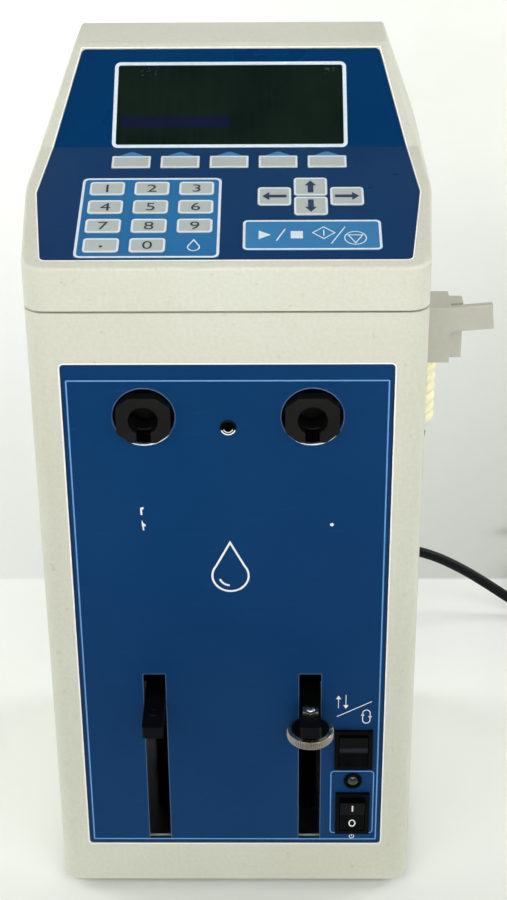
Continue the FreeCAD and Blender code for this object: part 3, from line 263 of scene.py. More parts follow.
def overlay_blue():
    """The keypad's printed film: dark blue, with a light-blue field behind the numbers."""
    look = Surface("overlay_film", specular=0.12)
    patches = look.span(look.noise(16, 4), 0, 1)
    deep = look.mix(patches, srgb(0, 49, 93), srgb(1, 53, 97))
    pale = look.mix(patches, srgb(30, 103, 156), srgb(38, 111, 164))
    field = look.box_mask(look.on_plane(KEYPAD_PLANE), BOX_LOW, BOX_HIGH, 0.2)
    body = look.mix(field, deep, pale)
    dust = look.span(look.noise(900, 3), 0, 1, 0.68, 0.78)
    look.colour(look.mix(look.math("MULTIPLY", dust, 0.15), body, srgb(96, 130, 160)))
    look.roughen(0.26, 0.42, scale=26)
    look.bump(look.noise(2200, 2), 0.006)
    return look.material


BURNT_LOW = (-43, 8.4)
BURNT_HIGH = (0.6, 14.6)
SMUDGES = (((-36, 32.6), (-29, 37.6)), ((36.4, 34), (41.8, 37.2)))
MARK_SOFT = 1.6


def window_glass():
    """The dark display seen through its window: one burnt line and dried smudges."""
    look = Surface("display_glass", roughness=0.15, specular=0.15)
    place = look.on_plane(DISPLAY_PLANE)
    tone = look.span(look.noise(45, 5), 0, 1)
    body = look.mix(tone, srgb(9, 22, 19), srgb(17, 31, 24))
    weave = look.span(look.noise(500, 2, (1, 0.06, 1), place), 0, 0.3)
    body = look.mix(weave, body, srgb(22, 36, 30))
    burnt = look.box_mask(place, BURNT_LOW, BURNT_HIGH, MARK_SOFT)
    body = look.mix(look.math("MULTIPLY", burnt, 0.75), body, srgb(20, 21, 58))
    crumbs = look.span(look.noise(750, 4), 0, 1, 0.55, 0.62)
    for low, high in SMUDGES:
        spot = look.math("MULTIPLY", look.box_mask(place, low, high, MARK_SOFT), crumbs)
        body = look.mix(look.math("MULTIPLY", spot, 0.6), body, srgb(110, 122, 118))
    look.colour(body)
    return look.material


def steel(name, colour, roughness=(0.22, 0.36), streak=(1, 1, 1), scale=160):
    """Bare metal with fine machining streaks."""
    look = Surface(name, metallic=1.0)
    tone = look.span(look.noise(scale, 4, streak), 0, 1)
    look.colour(look.mix(tone, shaded(colour, 0.86), colour))
    look.roughen(*roughness, scale=scale)
    look.bump(look.noise(scale * 6, 2, streak), 0.004)
    return look.material


def printed(name, colour, roughness=(0.4, 0.55)):
    """Screen ink: even, with the faintest thin spots."""
    look = Surface(name, specular=0.4)
    thin = look.span(look.noise(700, 3), 0, 1, 0.45, 0.75)
    look.colour(look.mix(look.math("MULTIPLY", thin, 0.4), colour, shaded(colour, 0.8)))
    look.roughen(*roughness, scale=60)
    look.bump(look.noise(1800, 2), 0.004)
    return look.material


# Where the painted sheen lies on the front plane, in millimetres.
SHEEN_LOW = (40, 71.4)
SHEEN_HIGH = (59, 74.4)


def rocker_black():
    """Satin black, with a paler band painted into the colour along the prime rocker's dip as a
    painted sheen.
    """
    look = Surface("rocker_black", roughness=0.35, specular=0.05)
    tone = look.span(look.noise(240, 3), 0, 1)
    body = look.mix(tone, srgb(3, 4, 5), srgb(8, 9, 11))
    # Painted sheen: a paler band of colour along the rocker's dip.
    sheen = look.box_mask(look.on_plane(FRONT_PLANE), SHEEN_LOW, SHEEN_HIGH, 0.9)
    look.colour(look.mix(look.math("MULTIPLY", sheen, 0.9), body, srgb(40, 44, 52)))
    look.roughen(0.28, 0.4, scale=40)
    return look.material


def lens_green():
    """The lamp's dark green lens."""
    look = Surface("lamp_lens_green", roughness=0.06, specular=0.6, coat=0.4)
    ring = look.span(look.noise(520, 3), 0, 1)
    look.colour(look.mix(ring, srgb(3, 16, 9), srgb(12, 38, 21)))
    return look.material


PAPER_END = 246
PAPER_START = -60

# Where the floor's shades change, in metres.
SIDE_LEFT = -0.1
SIDE_RIGHT = 0.17
EDGE_FADE = 0.003
GROUND_FADE = 0.75
NEAR_FADE = 0.2


def floor_paper():
    """White paper as far as its far edge, then ground with painted shade, darkest on the right and
    by the paper's edge and lifting with distance.
    """
    look = Surface("floor_paper", roughness=0.8, specular=0.1)
    axes = look.node("ShaderNodeSeparateXYZ")
    look.link(look.place, axes.inputs["Vector"])
    across, depth = axes.outputs[0], axes.outputs[1]
    edge = at(0, PAPER_END, 0).y
    # Painted shade: the floor darkens towards the right.
    side = look.span(across, 0, 1, SIDE_LEFT, SIDE_RIGHT)
    paper = look.mix(side, srgb(253, 255, 249), srgb(248, 250, 246))
    # Painted shade on the ground past the paper: darkest on the right and by the paper's edge.
    ground = look.mix(side, srgb(238, 241, 234), srgb(200, 203, 196))
    distant = look.mix(side, srgb(255, 255, 252), srgb(246, 249, 242))
    # The painted shade lifts with distance.
    ground = look.mix(look.span(depth, 0, 1, edge, edge + GROUND_FADE), ground, distant)
    body = look.mix(look.span(depth, 0, 1, edge, edge + EDGE_FADE), paper, ground)
    near = at(0, PAPER_START, 0).y
    body = look.mix(look.span(depth, 0, 1, near - NEAR_FADE, near), srgb(112, 113, 110), body)
    blotch = look.span(look.noise(6, 4), 0, 0.05)
    look.colour(look.mix(blotch, body, srgb(200, 203, 196)))
    look.bump(look.noise(300, 3), 0.05, 0.3)
    return look.material


CREAM = case_plastic()
BLUE = front_blue()
FILM = overlay_blue()
GLASS = window_glass()
HOLDER = moulded("holder_plastic_grey", srgb(188, 187, 175), (0.45, 0.6))
BLACK = moulded("black_moulded", srgb(9, 10, 12), (0.4, 0.52), cloud=0.18, specular=0.08)
SOCKET = moulded("socket_acetal", srgb(18, 18, 17), (0.35, 0.5), grain=600, depth=0.03,
                 cloud=0.15, specular=0.2)
SATIN = moulded("switch_black", srgb(5, 6, 7), (0.28, 0.4), cloud=0.12, specular=0.05)
# Black painted shade, for the dark of pits and holes.
SHADE_BLACK = moulded("painted_shade_black", srgb(2, 2, 2), (0.7, 0.8), cloud=0.2, specular=0.02)
ROCKER = rocker_black()
RUBBER = moulded("foot_rubber", srgb(28, 28, 29), (0.7, 0.85), grain=500, depth=0.05, cloud=0.2)
KEY_GREY = moulded("key_film_grey", srgb(181, 188, 183), (0.36, 0.5), grain=1600, depth=0.006,
                   specular=0.15)
KEY_BLUE = moulded("key_film_blue", srgb(54, 124, 174), (0.36, 0.5), grain=1600, depth=0.006,
                   specular=0.15)
CABLE = moulded("lead_jacket", srgb(16, 17, 19), (0.35, 0.5), grain=400, depth=0.02, cloud=0.2,
                specular=0.1)
CURLY = moulded("curly_jacket", srgb(244, 240, 204), (0.4, 0.55), grain=500, depth=0.02,
                specular=0.2)
BOARD = moulded("board_green", srgb(30, 84, 52), (0.4, 0.6), grain=400, depth=0.05, cloud=0.2)
MOTOR = moulded("motor_black", srgb(40, 41, 43), (0.45, 0.6), grain=300, depth=0.04, cloud=0.2)
ZINC = steel("zinc_sheet", srgb(176, 178, 178), (0.35, 0.5), (1, 1, 0.12))
BRIGHT = steel("bright_steel_turned", srgb(214, 212, 206), (0.14, 0.26), (1, 1, 6))
NICKEL = steel("nickel_rim", srgb(226, 222, 212), (0.16, 0.28), (1, 1, 0.3))
GUNMETAL = steel("nut_gunmetal", srgb(160, 160, 152), (0.25, 0.4))
KNURL = steel("knurled_nickel", srgb(178, 174, 162), (0.2, 0.32), (1, 1, 0.3))
OILED = steel("oiled_steel", srgb(26, 26, 27), (0.35, 0.5), (1, 1, 0.3))
PALE_INK = printed("ink_pale_blue", srgb(104, 158, 210))
# Pale blue-grey painted highlight on the panel's cut edges.
EDGE_HIGHLIGHT = printed("cut_edge_painted_highlight", srgb(66, 92, 128))
# White print, also used for painted highlights at the socket holes and the insert.
WHITE_INK_AND_HIGHLIGHT = printed("white_ink_and_painted_highlight", srgb(236, 240, 242))
# Navy painted shade, for the shadow line along the blue panel's edge.
SHADE_INK = printed("painted_shade_navy", srgb(3, 24, 56))
# Near-white painted highlight, for the lit arrises of the recesses.
LIT_EDGE = moulded("cream_lit_edge", srgb(255, 255, 250), (0.3, 0.4), grain=900, depth=0.01,
                   cloud=0.01)
KEY_INK = printed("ink_key_border", srgb(216, 230, 236))
SKY_INK = printed("ink_sky_blue", srgb(66, 128, 184))
NAVY_INK = printed("ink_navy", srgb(30, 54, 88))
DARK_INK = printed("ink_charcoal", srgb(38, 46, 54))
LENS = lens_green()

NODE_LOOKS = (
    (CREAM, ("lower_case", "head_case")),
    (HOLDER, ("probe_holder",)),
    (BLUE, ("front_panel",)),
    (FILM, ("keypad_overlay",)),
    (GLASS, ("display_window",)),
    (RUBBER, ("feet",)),
    (BLACK, ("left_drive_arm", "right_drive_arm", "supply_gland", "supply_plug", "probe_plug")),
    (SOCKET, ("left_valve_socket", "right_valve_socket")),
    (SATIN, ("prime_switch_housing", "power_switch_housing", "power_rocker", "status_lamp")),
    (ROCKER, ("prime_rocker",)),
    (BOARD, ("control_board", "keypad_board", "lcd_module")),
    (MOTOR, ("drive_motors", "valve_motors")),
    (ZINC, ("base_plate", "rear_panel", "drive_frame")),
    (BRIGHT, ("case_screws",)),
    (OILED, ("guide_rods", "left_lead_screw", "right_lead_screw", "left_valve_coupler",
             "right_valve_coupler", "centre_insert")),
)


def dress_nodes():
    for material, names in NODE_LOOKS:
        for name in names:
            dress(name, material)


def dress(name, material):
    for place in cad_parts[name].material_slots:
        place.material = material


# -------- camera
CAMERA_AT = (17.97, -581.77, 519.75)
CAMERA_PITCH = 27.9
CAMERA_YAW = -0.85
CAMERA_ROLL = -0.49
CAMERA_LENS = 70.56
SENSOR = 36


def make_camera():
    """The camera, turned left or right, then down, then rolled."""
    pitch, yaw, roll = (math.radians(turn) for turn in (CAMERA_PITCH, CAMERA_YAW, CAMERA_ROLL))
    ahead = Vector((math.sin(yaw) * math.cos(pitch), math.cos(yaw) * math.cos(pitch),
                    -math.sin(pitch)))
    level = Vector((math.cos(yaw), -math.sin(yaw), 0))
    upright = level.cross(ahead)
    right = math.cos(roll) * level + math.sin(roll) * upright
    top = math.cos(roll) * upright - math.sin(roll) * level
    data = bpy.data.cameras.new("camera")
    data.lens = CAMERA_LENS
    data.sensor_width = SENSOR
    data.clip_start = 0.01
    camera = show("camera", data)
    turn = Matrix((right, top, -ahead)).transposed().to_4x4()
    camera.matrix_world = Matrix.Translation(at(*CAMERA_AT)) @ turn
    bpy.context.scene.camera = camera


# -------- cords
SUPPLY_RADIUS = 2.65
SUPPLY_POINTS = [(40, 176, 66), (40.5, 190, 65.6), (50, 202, 60.5), (66, 204.5, 53),
                 (82, 204, 46.3), (99, 208, 39.6), (115.7, 213, 27.9), (131.5, 216, 15.4),
                 (147.5, 211.5, 5.7), (160, 208.3, 2.75), (173, 207.6, 2.7)]
SUPPLY_END = [(219.5, 266.5, 8), (217.5, 275, 7.6), (217, 283, 7.2), (216, 291, 6.8),
              (211.5, 298, 6.6), (203.5, 300.5, 6.5)]
COIL_CENTRE = (190.5, 244)
COIL_OUTER = 36.45
COIL_FIRST = 262
COIL_LAST = 31
COIL_TURNS = 8
TURN_POINTS = 20

# Control points lie this much outside the curve that they pull.
STRETCH = 1 / math.cos(math.pi / TURN_POINTS)

PROBE_RADIUS = 2.3
PROBE_HIGH = [(82.4, 154.5, 199.5), (83.8, 151, 205.4), (84, 141, 208), (84, 129, 208)]
HELIX_CENTRE = (83.6, 156.5)
HELIX_RADIUS = 5.5
HELIX_LOW = 144
HELIX_HIGH = 190.6
HELIX_TURNS = 9.4
HELIX_START = 43.2
HELIX_LEAD = 0.75
HELIX_RISE = 5.4
HELIX_END = 0.4


def coil_points():
    """Turns in on the floor, one that climbs over the last, and as many out on top."""
    step = 2 * SUPPLY_RADIUS
    turns = COIL_TURNS + (COIL_LAST - COIL_FIRST) / 360
    inward = (turns - 1) / 2
    points = []
    for count in range(int(turns * TURN_POINTS) + 1):
        turn = count / TURN_POINTS
        climb = min(max(turn - inward, 0), 1) * math.pi / 2
        depth = min(turn, inward) if turn < inward + 1 else turns - turn
        radius = COIL_OUTER - step * depth
        height = SUPPLY_RADIUS + step * math.sin(climb)
        angle = math.radians(COIL_FIRST + 360 * turn)
        points.append((COIL_CENTRE[0] + radius * STRETCH * math.cos(angle),
                       COIL_CENTRE[1] + radius * STRETCH * math.sin(angle), height))
    return points


def helix_points():
    """The curly part; at each end its turns close in and climb, to meet the boot and tail."""
    count = int(HELIX_TURNS * TURN_POINTS)
    points = []
    for index in range(count + 1):
        below = max(0, 1 - index / TURN_POINTS / HELIX_LEAD)
        above = max(0, 1 - (count - index) / TURN_POINTS / HELIX_LEAD)
        shrink = 1 - (1 - HELIX_END) * max(below, above) ** 1.5
        radius = HELIX_RADIUS * STRETCH * shrink
        angle = math.radians(HELIX_START + 360 * index / TURN_POINTS)
        height = HELIX_LOW + (HELIX_HIGH - HELIX_LOW) * index / count
        height += HELIX_RISE * (above ** 2 - below ** 2)
        points.append((HELIX_CENTRE[0] + radius * math.cos(angle),
                       HELIX_CENTRE[1] + radius * math.sin(angle), height))
    return points


def lay_cord(name, points, radius, material):
    """One smooth cord through the route's control points."""
    curve = bpy.data.curves.new(name, "CURVE")
    curve.dimensions = "3D"
    spline = curve.splines.new("NURBS")
    spline.points.add(len(points) - 1)
    for knot, point in zip(spline.points, points):
        knot.co = (*at(*point), 1)
    spline.order_u = 3
    spline.use_endpoint_u = True
    spline.resolution_u = 4
    curve.bevel_depth = radius * MM
    curve.bevel_resolution = 5
    curve.use_fill_caps = True
    curve.materials.append(material)
    cord = show(name, curve)
    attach(cord, "case")
    return cord


def make_cords():
    supply = lay_cord("supply_lead", SUPPLY_POINTS + coil_points() + SUPPLY_END,
                      SUPPLY_RADIUS, CABLE)
    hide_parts("supply_cord", "supply_cord_coil")
    route = helix_points() + PROBE_HIGH
    probe = lay_cord("probe_lead", route, PROBE_RADIUS, CURLY)
    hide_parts("probe_cord", "probe_cord_coil")


# -------- flat printed shapes
def arc(centre, radius, start, end, steps):
    """Points along an arc, from start to end in degrees."""
    points = []
    for index in range(steps + 1):
        turn = math.radians(start + (end - start) * index / steps)
        points.append((centre[0] + radius * math.cos(turn), centre[1] + radius * math.sin(turn)))
    return points


def circle(centre, radius, steps=48):
    return arc(centre, radius, 0, 360, steps)[:-1]


def rounded(low, high, radius, steps=6):
    """A rectangle's outline with round corners."""
    points = []
    for across, up, start in ((high[0], high[1], 0), (low[0], high[1], 90),
                              (low[0], low[1], 180), (high[0], low[1], 270)):
        centre = (across - math.copysign(radius, across - (low[0] + high[0]) / 2),
                  up - math.copysign(radius, up - (low[1] + high[1]) / 2))
        points += arc(centre, radius, start, start + 90, steps)
    return points


class Print:
    """Flat shapes in millimetres on a plane, raised into one thin piece of ink."""

    def __init__(self):
        self.mesh = bmesh.new()

    def patch(self, points):
        self.mesh.faces.new([self.mesh.verts.new((*point, 0)) for point in points])

    def band(self, outer, inner, closed=True):
        """The strip between two outlines with the same number of points."""
        far = [self.mesh.verts.new((*point, 0)) for point in outer]
        near = [self.mesh.verts.new((*point, 0)) for point in inner]
        count = len(far)
        for index in range(count if closed else count - 1):
            after = (index + 1) % count
            self.mesh.faces.new((far[index], far[after], near[after], near[index]))

    def ring(self, centre, radius, width):
        self.band(circle(centre, radius), circle(centre, radius - width))

    def frame(self, low, high, radius, width):
        """A rounded rectangle drawn with a line of a given width inside it."""
        inner_low = (low[0] + width, low[1] + width)
        inner_high = (high[0] - width, high[1] - width)
        inner_radius = max(radius - width, 0.05)
        self.band(rounded(low, high, radius), rounded(inner_low, inner_high, inner_radius))

    def line(self, points, width, closed=False):
        """A line of even width with mitred bends."""
        route = [Vector(point) for point in points]
        count = len(route)
        left, right = [], []
        for index, here in enumerate(route):
            before = route[index - 1] if index or closed else None
            after = route[(index + 1) % count] if index < count - 1 or closed else None
            into = (here - before).normalized() if before else (after - here).normalized()
            out = (after - here).normalized() if after else into
            side = Vector((-(into + out).y, (into + out).x)).normalized()
            square = Vector((-into.y, into.x))
            reach = width / 2 / max(side.dot(square), 0.3)
            left.append(here + side * reach)
            right.append(here - side * reach)
        self.band(left, right, closed)

    def text(self, letters, middle, height, squeeze=1.0):
        """Plain digits, centred on a point."""
        curve = bpy.data.curves.new("digits", "FONT")
        curve.body = letters
        thing = show("digits", curve)
        bpy.context.view_layer.update()
        flat = bpy.data.meshes.new_from_object(thing)
        corners = [corner.co for corner in flat.vertices]
        low = Vector((min(c.x for c in corners), min(c.y for c in corners), 0))
        high = Vector((max(c.x for c in corners), max(c.y for c in corners), 0))
        grow = height / (high.y - low.y)
        centre = (low + high) / 2
        for corner in flat.vertices:
            corner.co = ((corner.co.x - centre.x) * grow * squeeze + middle[0],
                         (corner.co.y - centre.y) * grow + middle[1], 0)
        self.mesh.from_mesh(flat)
        bpy.data.objects.remove(thing)
        bpy.data.meshes.remove(flat)

    def stamp(self, name, matrix, lift, material, body, thick=INK):
        """Lay the shapes on a plane, a lift above it, as a closed thin solid."""
        bmesh.ops.remove_doubles(self.mesh, verts=self.mesh.verts, dist=1e-4)
        raised = bmesh.ops.extrude_face_region(self.mesh, geom=self.mesh.faces[:])
        tops = [item for item in raised["geom"] if isinstance(item, bmesh.types.BMVert)]
        bmesh.ops.translate(self.mesh, verts=tops, vec=(0, 0, thick))
        bmesh.ops.recalc_face_normals(self.mesh, faces=self.mesh.faces)
        place = matrix @ Matrix.Translation((0, 0, lift * MM)) @ Matrix.Scale(MM, 4)
        self.mesh.transform(place)
        return add_piece(name, self.mesh, material, body)


def add_piece(name, mesh, material, body, smooth=False):
    """A finished mesh as a piece that rides on a body."""
    data = bpy.data.meshes.new(name)
    mesh.to_mesh(data)
    mesh.free()
    data.materials.append(material)
    if smooth:
        data.shade_smooth()
    piece = show(name, data)
    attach(piece, body)
    return piece


# -------- front panel print
BORDER_HALF = 59.6
BORDER_LOW = 25.2
BORDER_HIGH = 240.4
BORDER_WIDTH = 0.55
POWER_BOX_LOW = (40, 28.6)
POWER_BOX_HIGH = (58.1, 61.4)


def print_panel():
    border = Print()
    border.frame((-BORDER_HALF, BORDER_LOW), (BORDER_HALF, BORDER_HIGH), 0.6, BORDER_WIDTH)
    border.frame(POWER_BOX_LOW, POWER_BOX_HIGH, 1.6, 0.45)
    border.stamp("panel_border", FRONT_PLANE, LIFT, PALE_INK, "case")
    print_panel_edges()
    print_droplet()
    print_legend()
    print_scuffs()


PANEL_LOW = (-61.2, 23.6)
PANEL_HIGH = (61.2, 246.8)
RECESS_GAP = 0.62


def print_panel_edges():
    """Painted shade along the panel's cut edge, and a painted highlight on the arris of the recess
    it sits in.
    """
    # Painted shade: a dark navy line round the panel's edge.
    dark = Print()
    dark.frame(PANEL_LOW, PANEL_HIGH, 1.5, 0.45)
    dark.stamp("panel_edge_painted_shade", FRONT_PLANE, THIN_LIFT, SHADE_INK, "case")
    low = [value - RECESS_GAP for value in PANEL_LOW]
    high = [value + RECESS_GAP for value in PANEL_HIGH]
    # Painted highlight: a near-white line on the recess arris round the panel.
    lit = Print()
    lit.frame(low, high, 2, 0.5)
    lit.stamp("recess_lit_edge", FRONT_PLANE, PANEL_SINK + THIN_LIFT, LIT_EDGE, "case")


def droplet(centre, size, steps=28):
    """A drop's outline: a round belly under a point, size tall."""
    radius = size * 0.32
    belly = (centre[0], centre[1] - size / 2 + radius)
    points = arc(belly, radius, 38, 38 - 256, steps)
    points.append((centre[0], centre[1] + size / 2))
    return points


DROP_LINE = 0.8


def print_droplet():
    """A plain drop where the maker's round mark would be."""
    mark = Print()
    mark.line(droplet((0, 160.2), 22), DROP_LINE, closed=True)
    mark.line(arc((0, 156.2), 4.4, 200, 265, 10), DROP_LINE)
    mark.stamp("panel_drop_mark", FRONT_PLANE, LIFT, WHITE_INK_AND_HIGHLIGHT, "case")


def arrow(shape, tail, tip, shaft, head_width, head_length):
    """A straight arrow from tail to tip."""
    tail, tip = Vector(tail), Vector(tip)
    way = (tip - tail).normalized()
    side = Vector((-way.y, way.x))
    neck = tip - way * head_length
    outline = [tail + side * shaft / 2, tail - side * shaft / 2, neck - side * shaft / 2,
               neck - side * head_width / 2, tip, neck + side * head_width / 2,
               neck + side * shaft / 2]
    shape.patch([tuple(point) for point in outline])


STEP_ARROWS = (((42.8, 93.1), (42.8, 99.4)), ((45.8, 99.7), (45.8, 92.9)))
STEP_ARROW_SHAPE = (0.3, 2.1, 1.8)
LEGEND_SLASH = ((42.3, 89), (56.2, 96.4))
LOOP_MIDDLE = (54.2, 89)
LOOP_HALF = 1.75
LOOP_RADIUS = 1.5
LOOP_HEADS = ((-LOOP_RADIUS, 89.4, 90.9), (LOOP_RADIUS, 89.2, 87.7))
LOOP_HEAD_HALF = 0.75
POWER_SIGN_HEIGHT = 26.9
POWER_SIGN_BAR = (27, 28.2)


def print_legend():
    """The signs by the two switches: up and down arrows, a slash, a loop and a power sign."""
    legend = Print()
    for tail, tip in STEP_ARROWS:
        arrow(legend, tail, tip, *STEP_ARROW_SHAPE)
    legend.line(LEGEND_SLASH, 0.34)
    across, up = LOOP_MIDDLE
    top = arc((across, up + LOOP_HALF), LOOP_RADIUS, 0, 180, 12)
    bottom = arc((across, up - LOOP_HALF), LOOP_RADIUS, 180, 360, 12)
    legend.line(top + bottom, 0.38, closed=True)
    for away, base, tip in LOOP_HEADS:
        middle = across + away
        legend.patch([(middle - LOOP_HEAD_HALF, base), (middle + LOOP_HEAD_HALF, base),
                      (middle, tip)])
    legend.line(arc((SWITCH_COLUMN, POWER_SIGN_HEIGHT), 0.95, 125, 415, 18), 0.3)
    legend.line([(SWITCH_COLUMN, height) for height in POWER_SIGN_BAR], 0.3)
    legend.stamp("switch_legend", FRONT_PLANE, LIFT, WHITE_INK_AND_HIGHLIGHT, "case")


CHIPS = (
    ((-34, 186.6), (-32.6, 187), (-32.8, 186), (-33.4, 185.8), (-33.2, 183.4), (-34, 183.6)),
    ((-33.6, 181.4), (-33, 179.8), (-32.1, 179.2), (-32.2, 178.4), (-32.9, 178.4),
     (-32.7, 176.6), (-33.3, 176.8), (-33.6, 179)),
    ((38.4, 179.6), (39.3, 179.9), (39.9, 179.1), (39.2, 178.3), (38.3, 178.7)),
)


def print_scuffs():
    """Pale chips in the blue paint."""
    chips = Print()
    for outline in CHIPS:
        chips.patch(outline)
    chips.stamp("panel_chips", FRONT_PLANE, THIN_LIFT, WHITE_INK_AND_HIGHLIGHT, "case", 0.02)


# -------- keypad print
NUMBER_KEY = (13.1, 8.5)
FUNCTION_KEY = (14.8, 7.9)
ARROW_KEY = (12.5, 11.6)
RUN_KEY = (50.4, 18.3)
KEY_EDGE = 0.75
KEY_EDGE_INSET = 0.1
DIGIT_HEIGHT = 4.7
DIGIT_SQUEEZE = 1.2
DIGITS = {"key_point": ".", "key_0": "0"} | {f"key_{digit}": str(digit) for digit in range(1, 10)}
ARROWS = {"up": (0, 1), "down": (0, -1), "left": (-1, 0), "right": (1, 0)}


def key_middle(name):
    """A key's middle on the keypad's plane, in millimetres."""
    low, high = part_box(name)
    local = KEYPAD_PLANE.inverted() @ ((low + high) / 2)
    return local.x / MM, local.y / MM


def key_border(name, size, radius, width=KEY_EDGE):
    """The pale edge printed round a key's face."""
    across, along = key_middle(name)
    low = (across - size[0] / 2 + KEY_EDGE_INSET, along - size[1] / 2 + KEY_EDGE_INSET)
    high = (across + size[0] / 2 - KEY_EDGE_INSET, along + size[1] / 2 - KEY_EDGE_INSET)
    edge = Print()
    edge.frame(low, high, radius, width)
    edge.stamp(f"{name}_edge", KEYPAD_PLANE, THIN_LIFT, KEY_INK, name)


def print_number_keys():
    for name, digit in DIGITS.items():
        dress(name, KEY_GREY)
        key_border(name, NUMBER_KEY, 1.4)
        across, along = key_middle(name)
        face = Print()
        if digit == ".":
            face.patch(circle((across, along - 0.8), 0.62, 16))
        else:
            face.text(digit, (across, along), DIGIT_HEIGHT, DIGIT_SQUEEZE)
        face.stamp(f"{name}_digit", KEYPAD_PLANE, THIN_LIFT, DARK_INK, name)


def print_function_keys():
    for number in range(1, 6):
        name = f"function_key_{number}"
        dress(name, KEY_GREY)
        key_border(name, FUNCTION_KEY, 0.4)


def print_arrow_keys():
    for way, (across, along) in ARROWS.items():
        name = f"arrow_{way}_key"
        dress(name, KEY_GREY)
        key_border(name, ARROW_KEY, 1.4)
        middle = key_middle(name)
        long = 4.5 if across else 3.9
        head = (5.2, 2.6) if across else (4.4, 3.2)
        shaft = 1.7 if across else 2.1
        sign = Print()
        arrow(sign, (middle[0] - across * long, middle[1] - along * long),
              (middle[0] + across * long, middle[1] + along * long), shaft, *head)
        sign.stamp(f"{name}_sign", KEYPAD_PLANE, THIN_LIFT, NAVY_INK, name)


# The run key's signs, in millimetres from its middle.
PLAY_SIGN = ((-19.4, 2.6), (-19.4, -2.6), (-15, 0))
PLAY_SLASH = ((-13, -3.6), (-9.8, 3.6))
BLOCK_SIGN = ((-7.8, -2.2), (-3.4, -2.2), (-3.4, 2.2), (-7.8, 2.2))
DIAMOND = ((0.2, 1.2), (4.2, 4.8), (8.2, 1.2), (4.2, -2.4))
DIAMOND_BAR = ((4.2, -0.6), (4.2, 3))
DIAMOND_SLASH = ((6.8, -5.4), (12, 4.8))
RING_MIDDLE = (15.6, -2)
RING_RADIUS = 4.1
TRIANGLE = ((13, -0.2), (18.2, -0.2), (15.6, -5))


def print_run_key():
    """Start and stop signs: a play mark and a block, then a diamond and a ringed triangle."""
    name = "run_stop_key"
    dress(name, KEY_BLUE)
    key_border(name, RUN_KEY, 1.9, 0.9)
    across, along = key_middle(name)

    def on_key(points):
        return [(across + right, along + up) for right, up in points]

    signs = Print()
    signs.patch(on_key(PLAY_SIGN))
    signs.line(on_key(PLAY_SLASH), 0.5)
    signs.patch(on_key(BLOCK_SIGN))
    signs.line(on_key(DIAMOND), 0.4, closed=True)
    signs.line(on_key(DIAMOND_BAR), 0.45)
    signs.line(on_key(DIAMOND_SLASH), 0.4)
    signs.ring(*on_key([RING_MIDDLE]), RING_RADIUS, 0.4)
    signs.line(on_key(TRIANGLE), 0.4, closed=True)
    signs.stamp(f"{name}_signs", KEYPAD_PLANE, THIN_LIFT, KEY_INK, name)


WINDOW_LOW = (-45.6, -0.4)
WINDOW_HIGH = (45.6, 39.8)


def print_overlay():
    """The border of the number field, the pointers above the soft keys, and the mark."""
    field = Print()
    field.frame(BOX_LOW, BOX_HIGH, 2.5, 1.0)
    field.stamp("number_field_border", KEYPAD_PLANE, FILM_LIFT, KEY_INK, "case")
    drop = Print()
    drop.line(droplet((-11.8, 13.9), 6.6, 18), 0.45, closed=True)
    drop.stamp("keypad_drop_mark", KEYPAD_PLANE, FILM_LIFT, KEY_INK, "case")
    pointers = Print()
    for number in range(1, 6):
        across, along = key_middle(f"function_key_{number}")
        base = along + FUNCTION_KEY[1] / 2 + 0.35
        pointers.patch([(across - 5, base), (across + 5, base), (across + 0.6, base + 2.6),
                        (across - 0.6, base + 2.6)])
    pointers.stamp("soft_key_pointers", KEYPAD_PLANE, FILM_LIFT, SKY_INK, "case")
    print_overlay_edge()
    window = Print()
    window.frame(WINDOW_LOW, WINDOW_HIGH, 2.4, 1.45)
    window.stamp("window_border", DISPLAY_PLANE, FILM_LIFT, KEY_INK, "case", 0.12)


OVERLAY_FRONT = (66.5, 5)
OVERLAY_KNEE = (71.5, 47)
OVERLAY_FOLD = 68
OVERLAY_TOP = (58.8, 46.4)
OVERLAY_ROUND = 2.4
OVERLAY_GAP = 0.45
ARRIS = 0.42


def print_overlay_edge():
    """A painted highlight on the arris of the head's recess, all round the printed sheet."""
    out = OVERLAY_GAP
    front, knee, top = OVERLAY_FRONT, OVERLAY_KNEE, OVERLAY_TOP
    low = front[1] - out
    near = front[0] + out
    middle = (near - OVERLAY_ROUND, low + OVERLAY_ROUND)
    round_corner = arc(middle, OVERLAY_ROUND, 0, -90, 8)
    half = [(OVERLAY_FOLD + out, KEYPAD_RUN), (knee[0] + out, knee[1])] + round_corner
    # Painted highlight along the recess arris, on the keypad and display planes.
    edge = Print()
    edge.line(half + [(-across, along) for across, along in reversed(half)], ARRIS)
    edge.stamp("keypad_recess_edge", KEYPAD_PLANE, THIN_LIFT, LIT_EDGE, "case")
    half = [(OVERLAY_FOLD + out, 0), (top[0] + out, top[1] + out)]
    edge = Print()
    edge.line(half + [(-across, along) for across, along in reversed(half)], ARRIS)
    edge.stamp("display_recess_edge", DISPLAY_PLANE, THIN_LIFT, LIT_EDGE, "case")


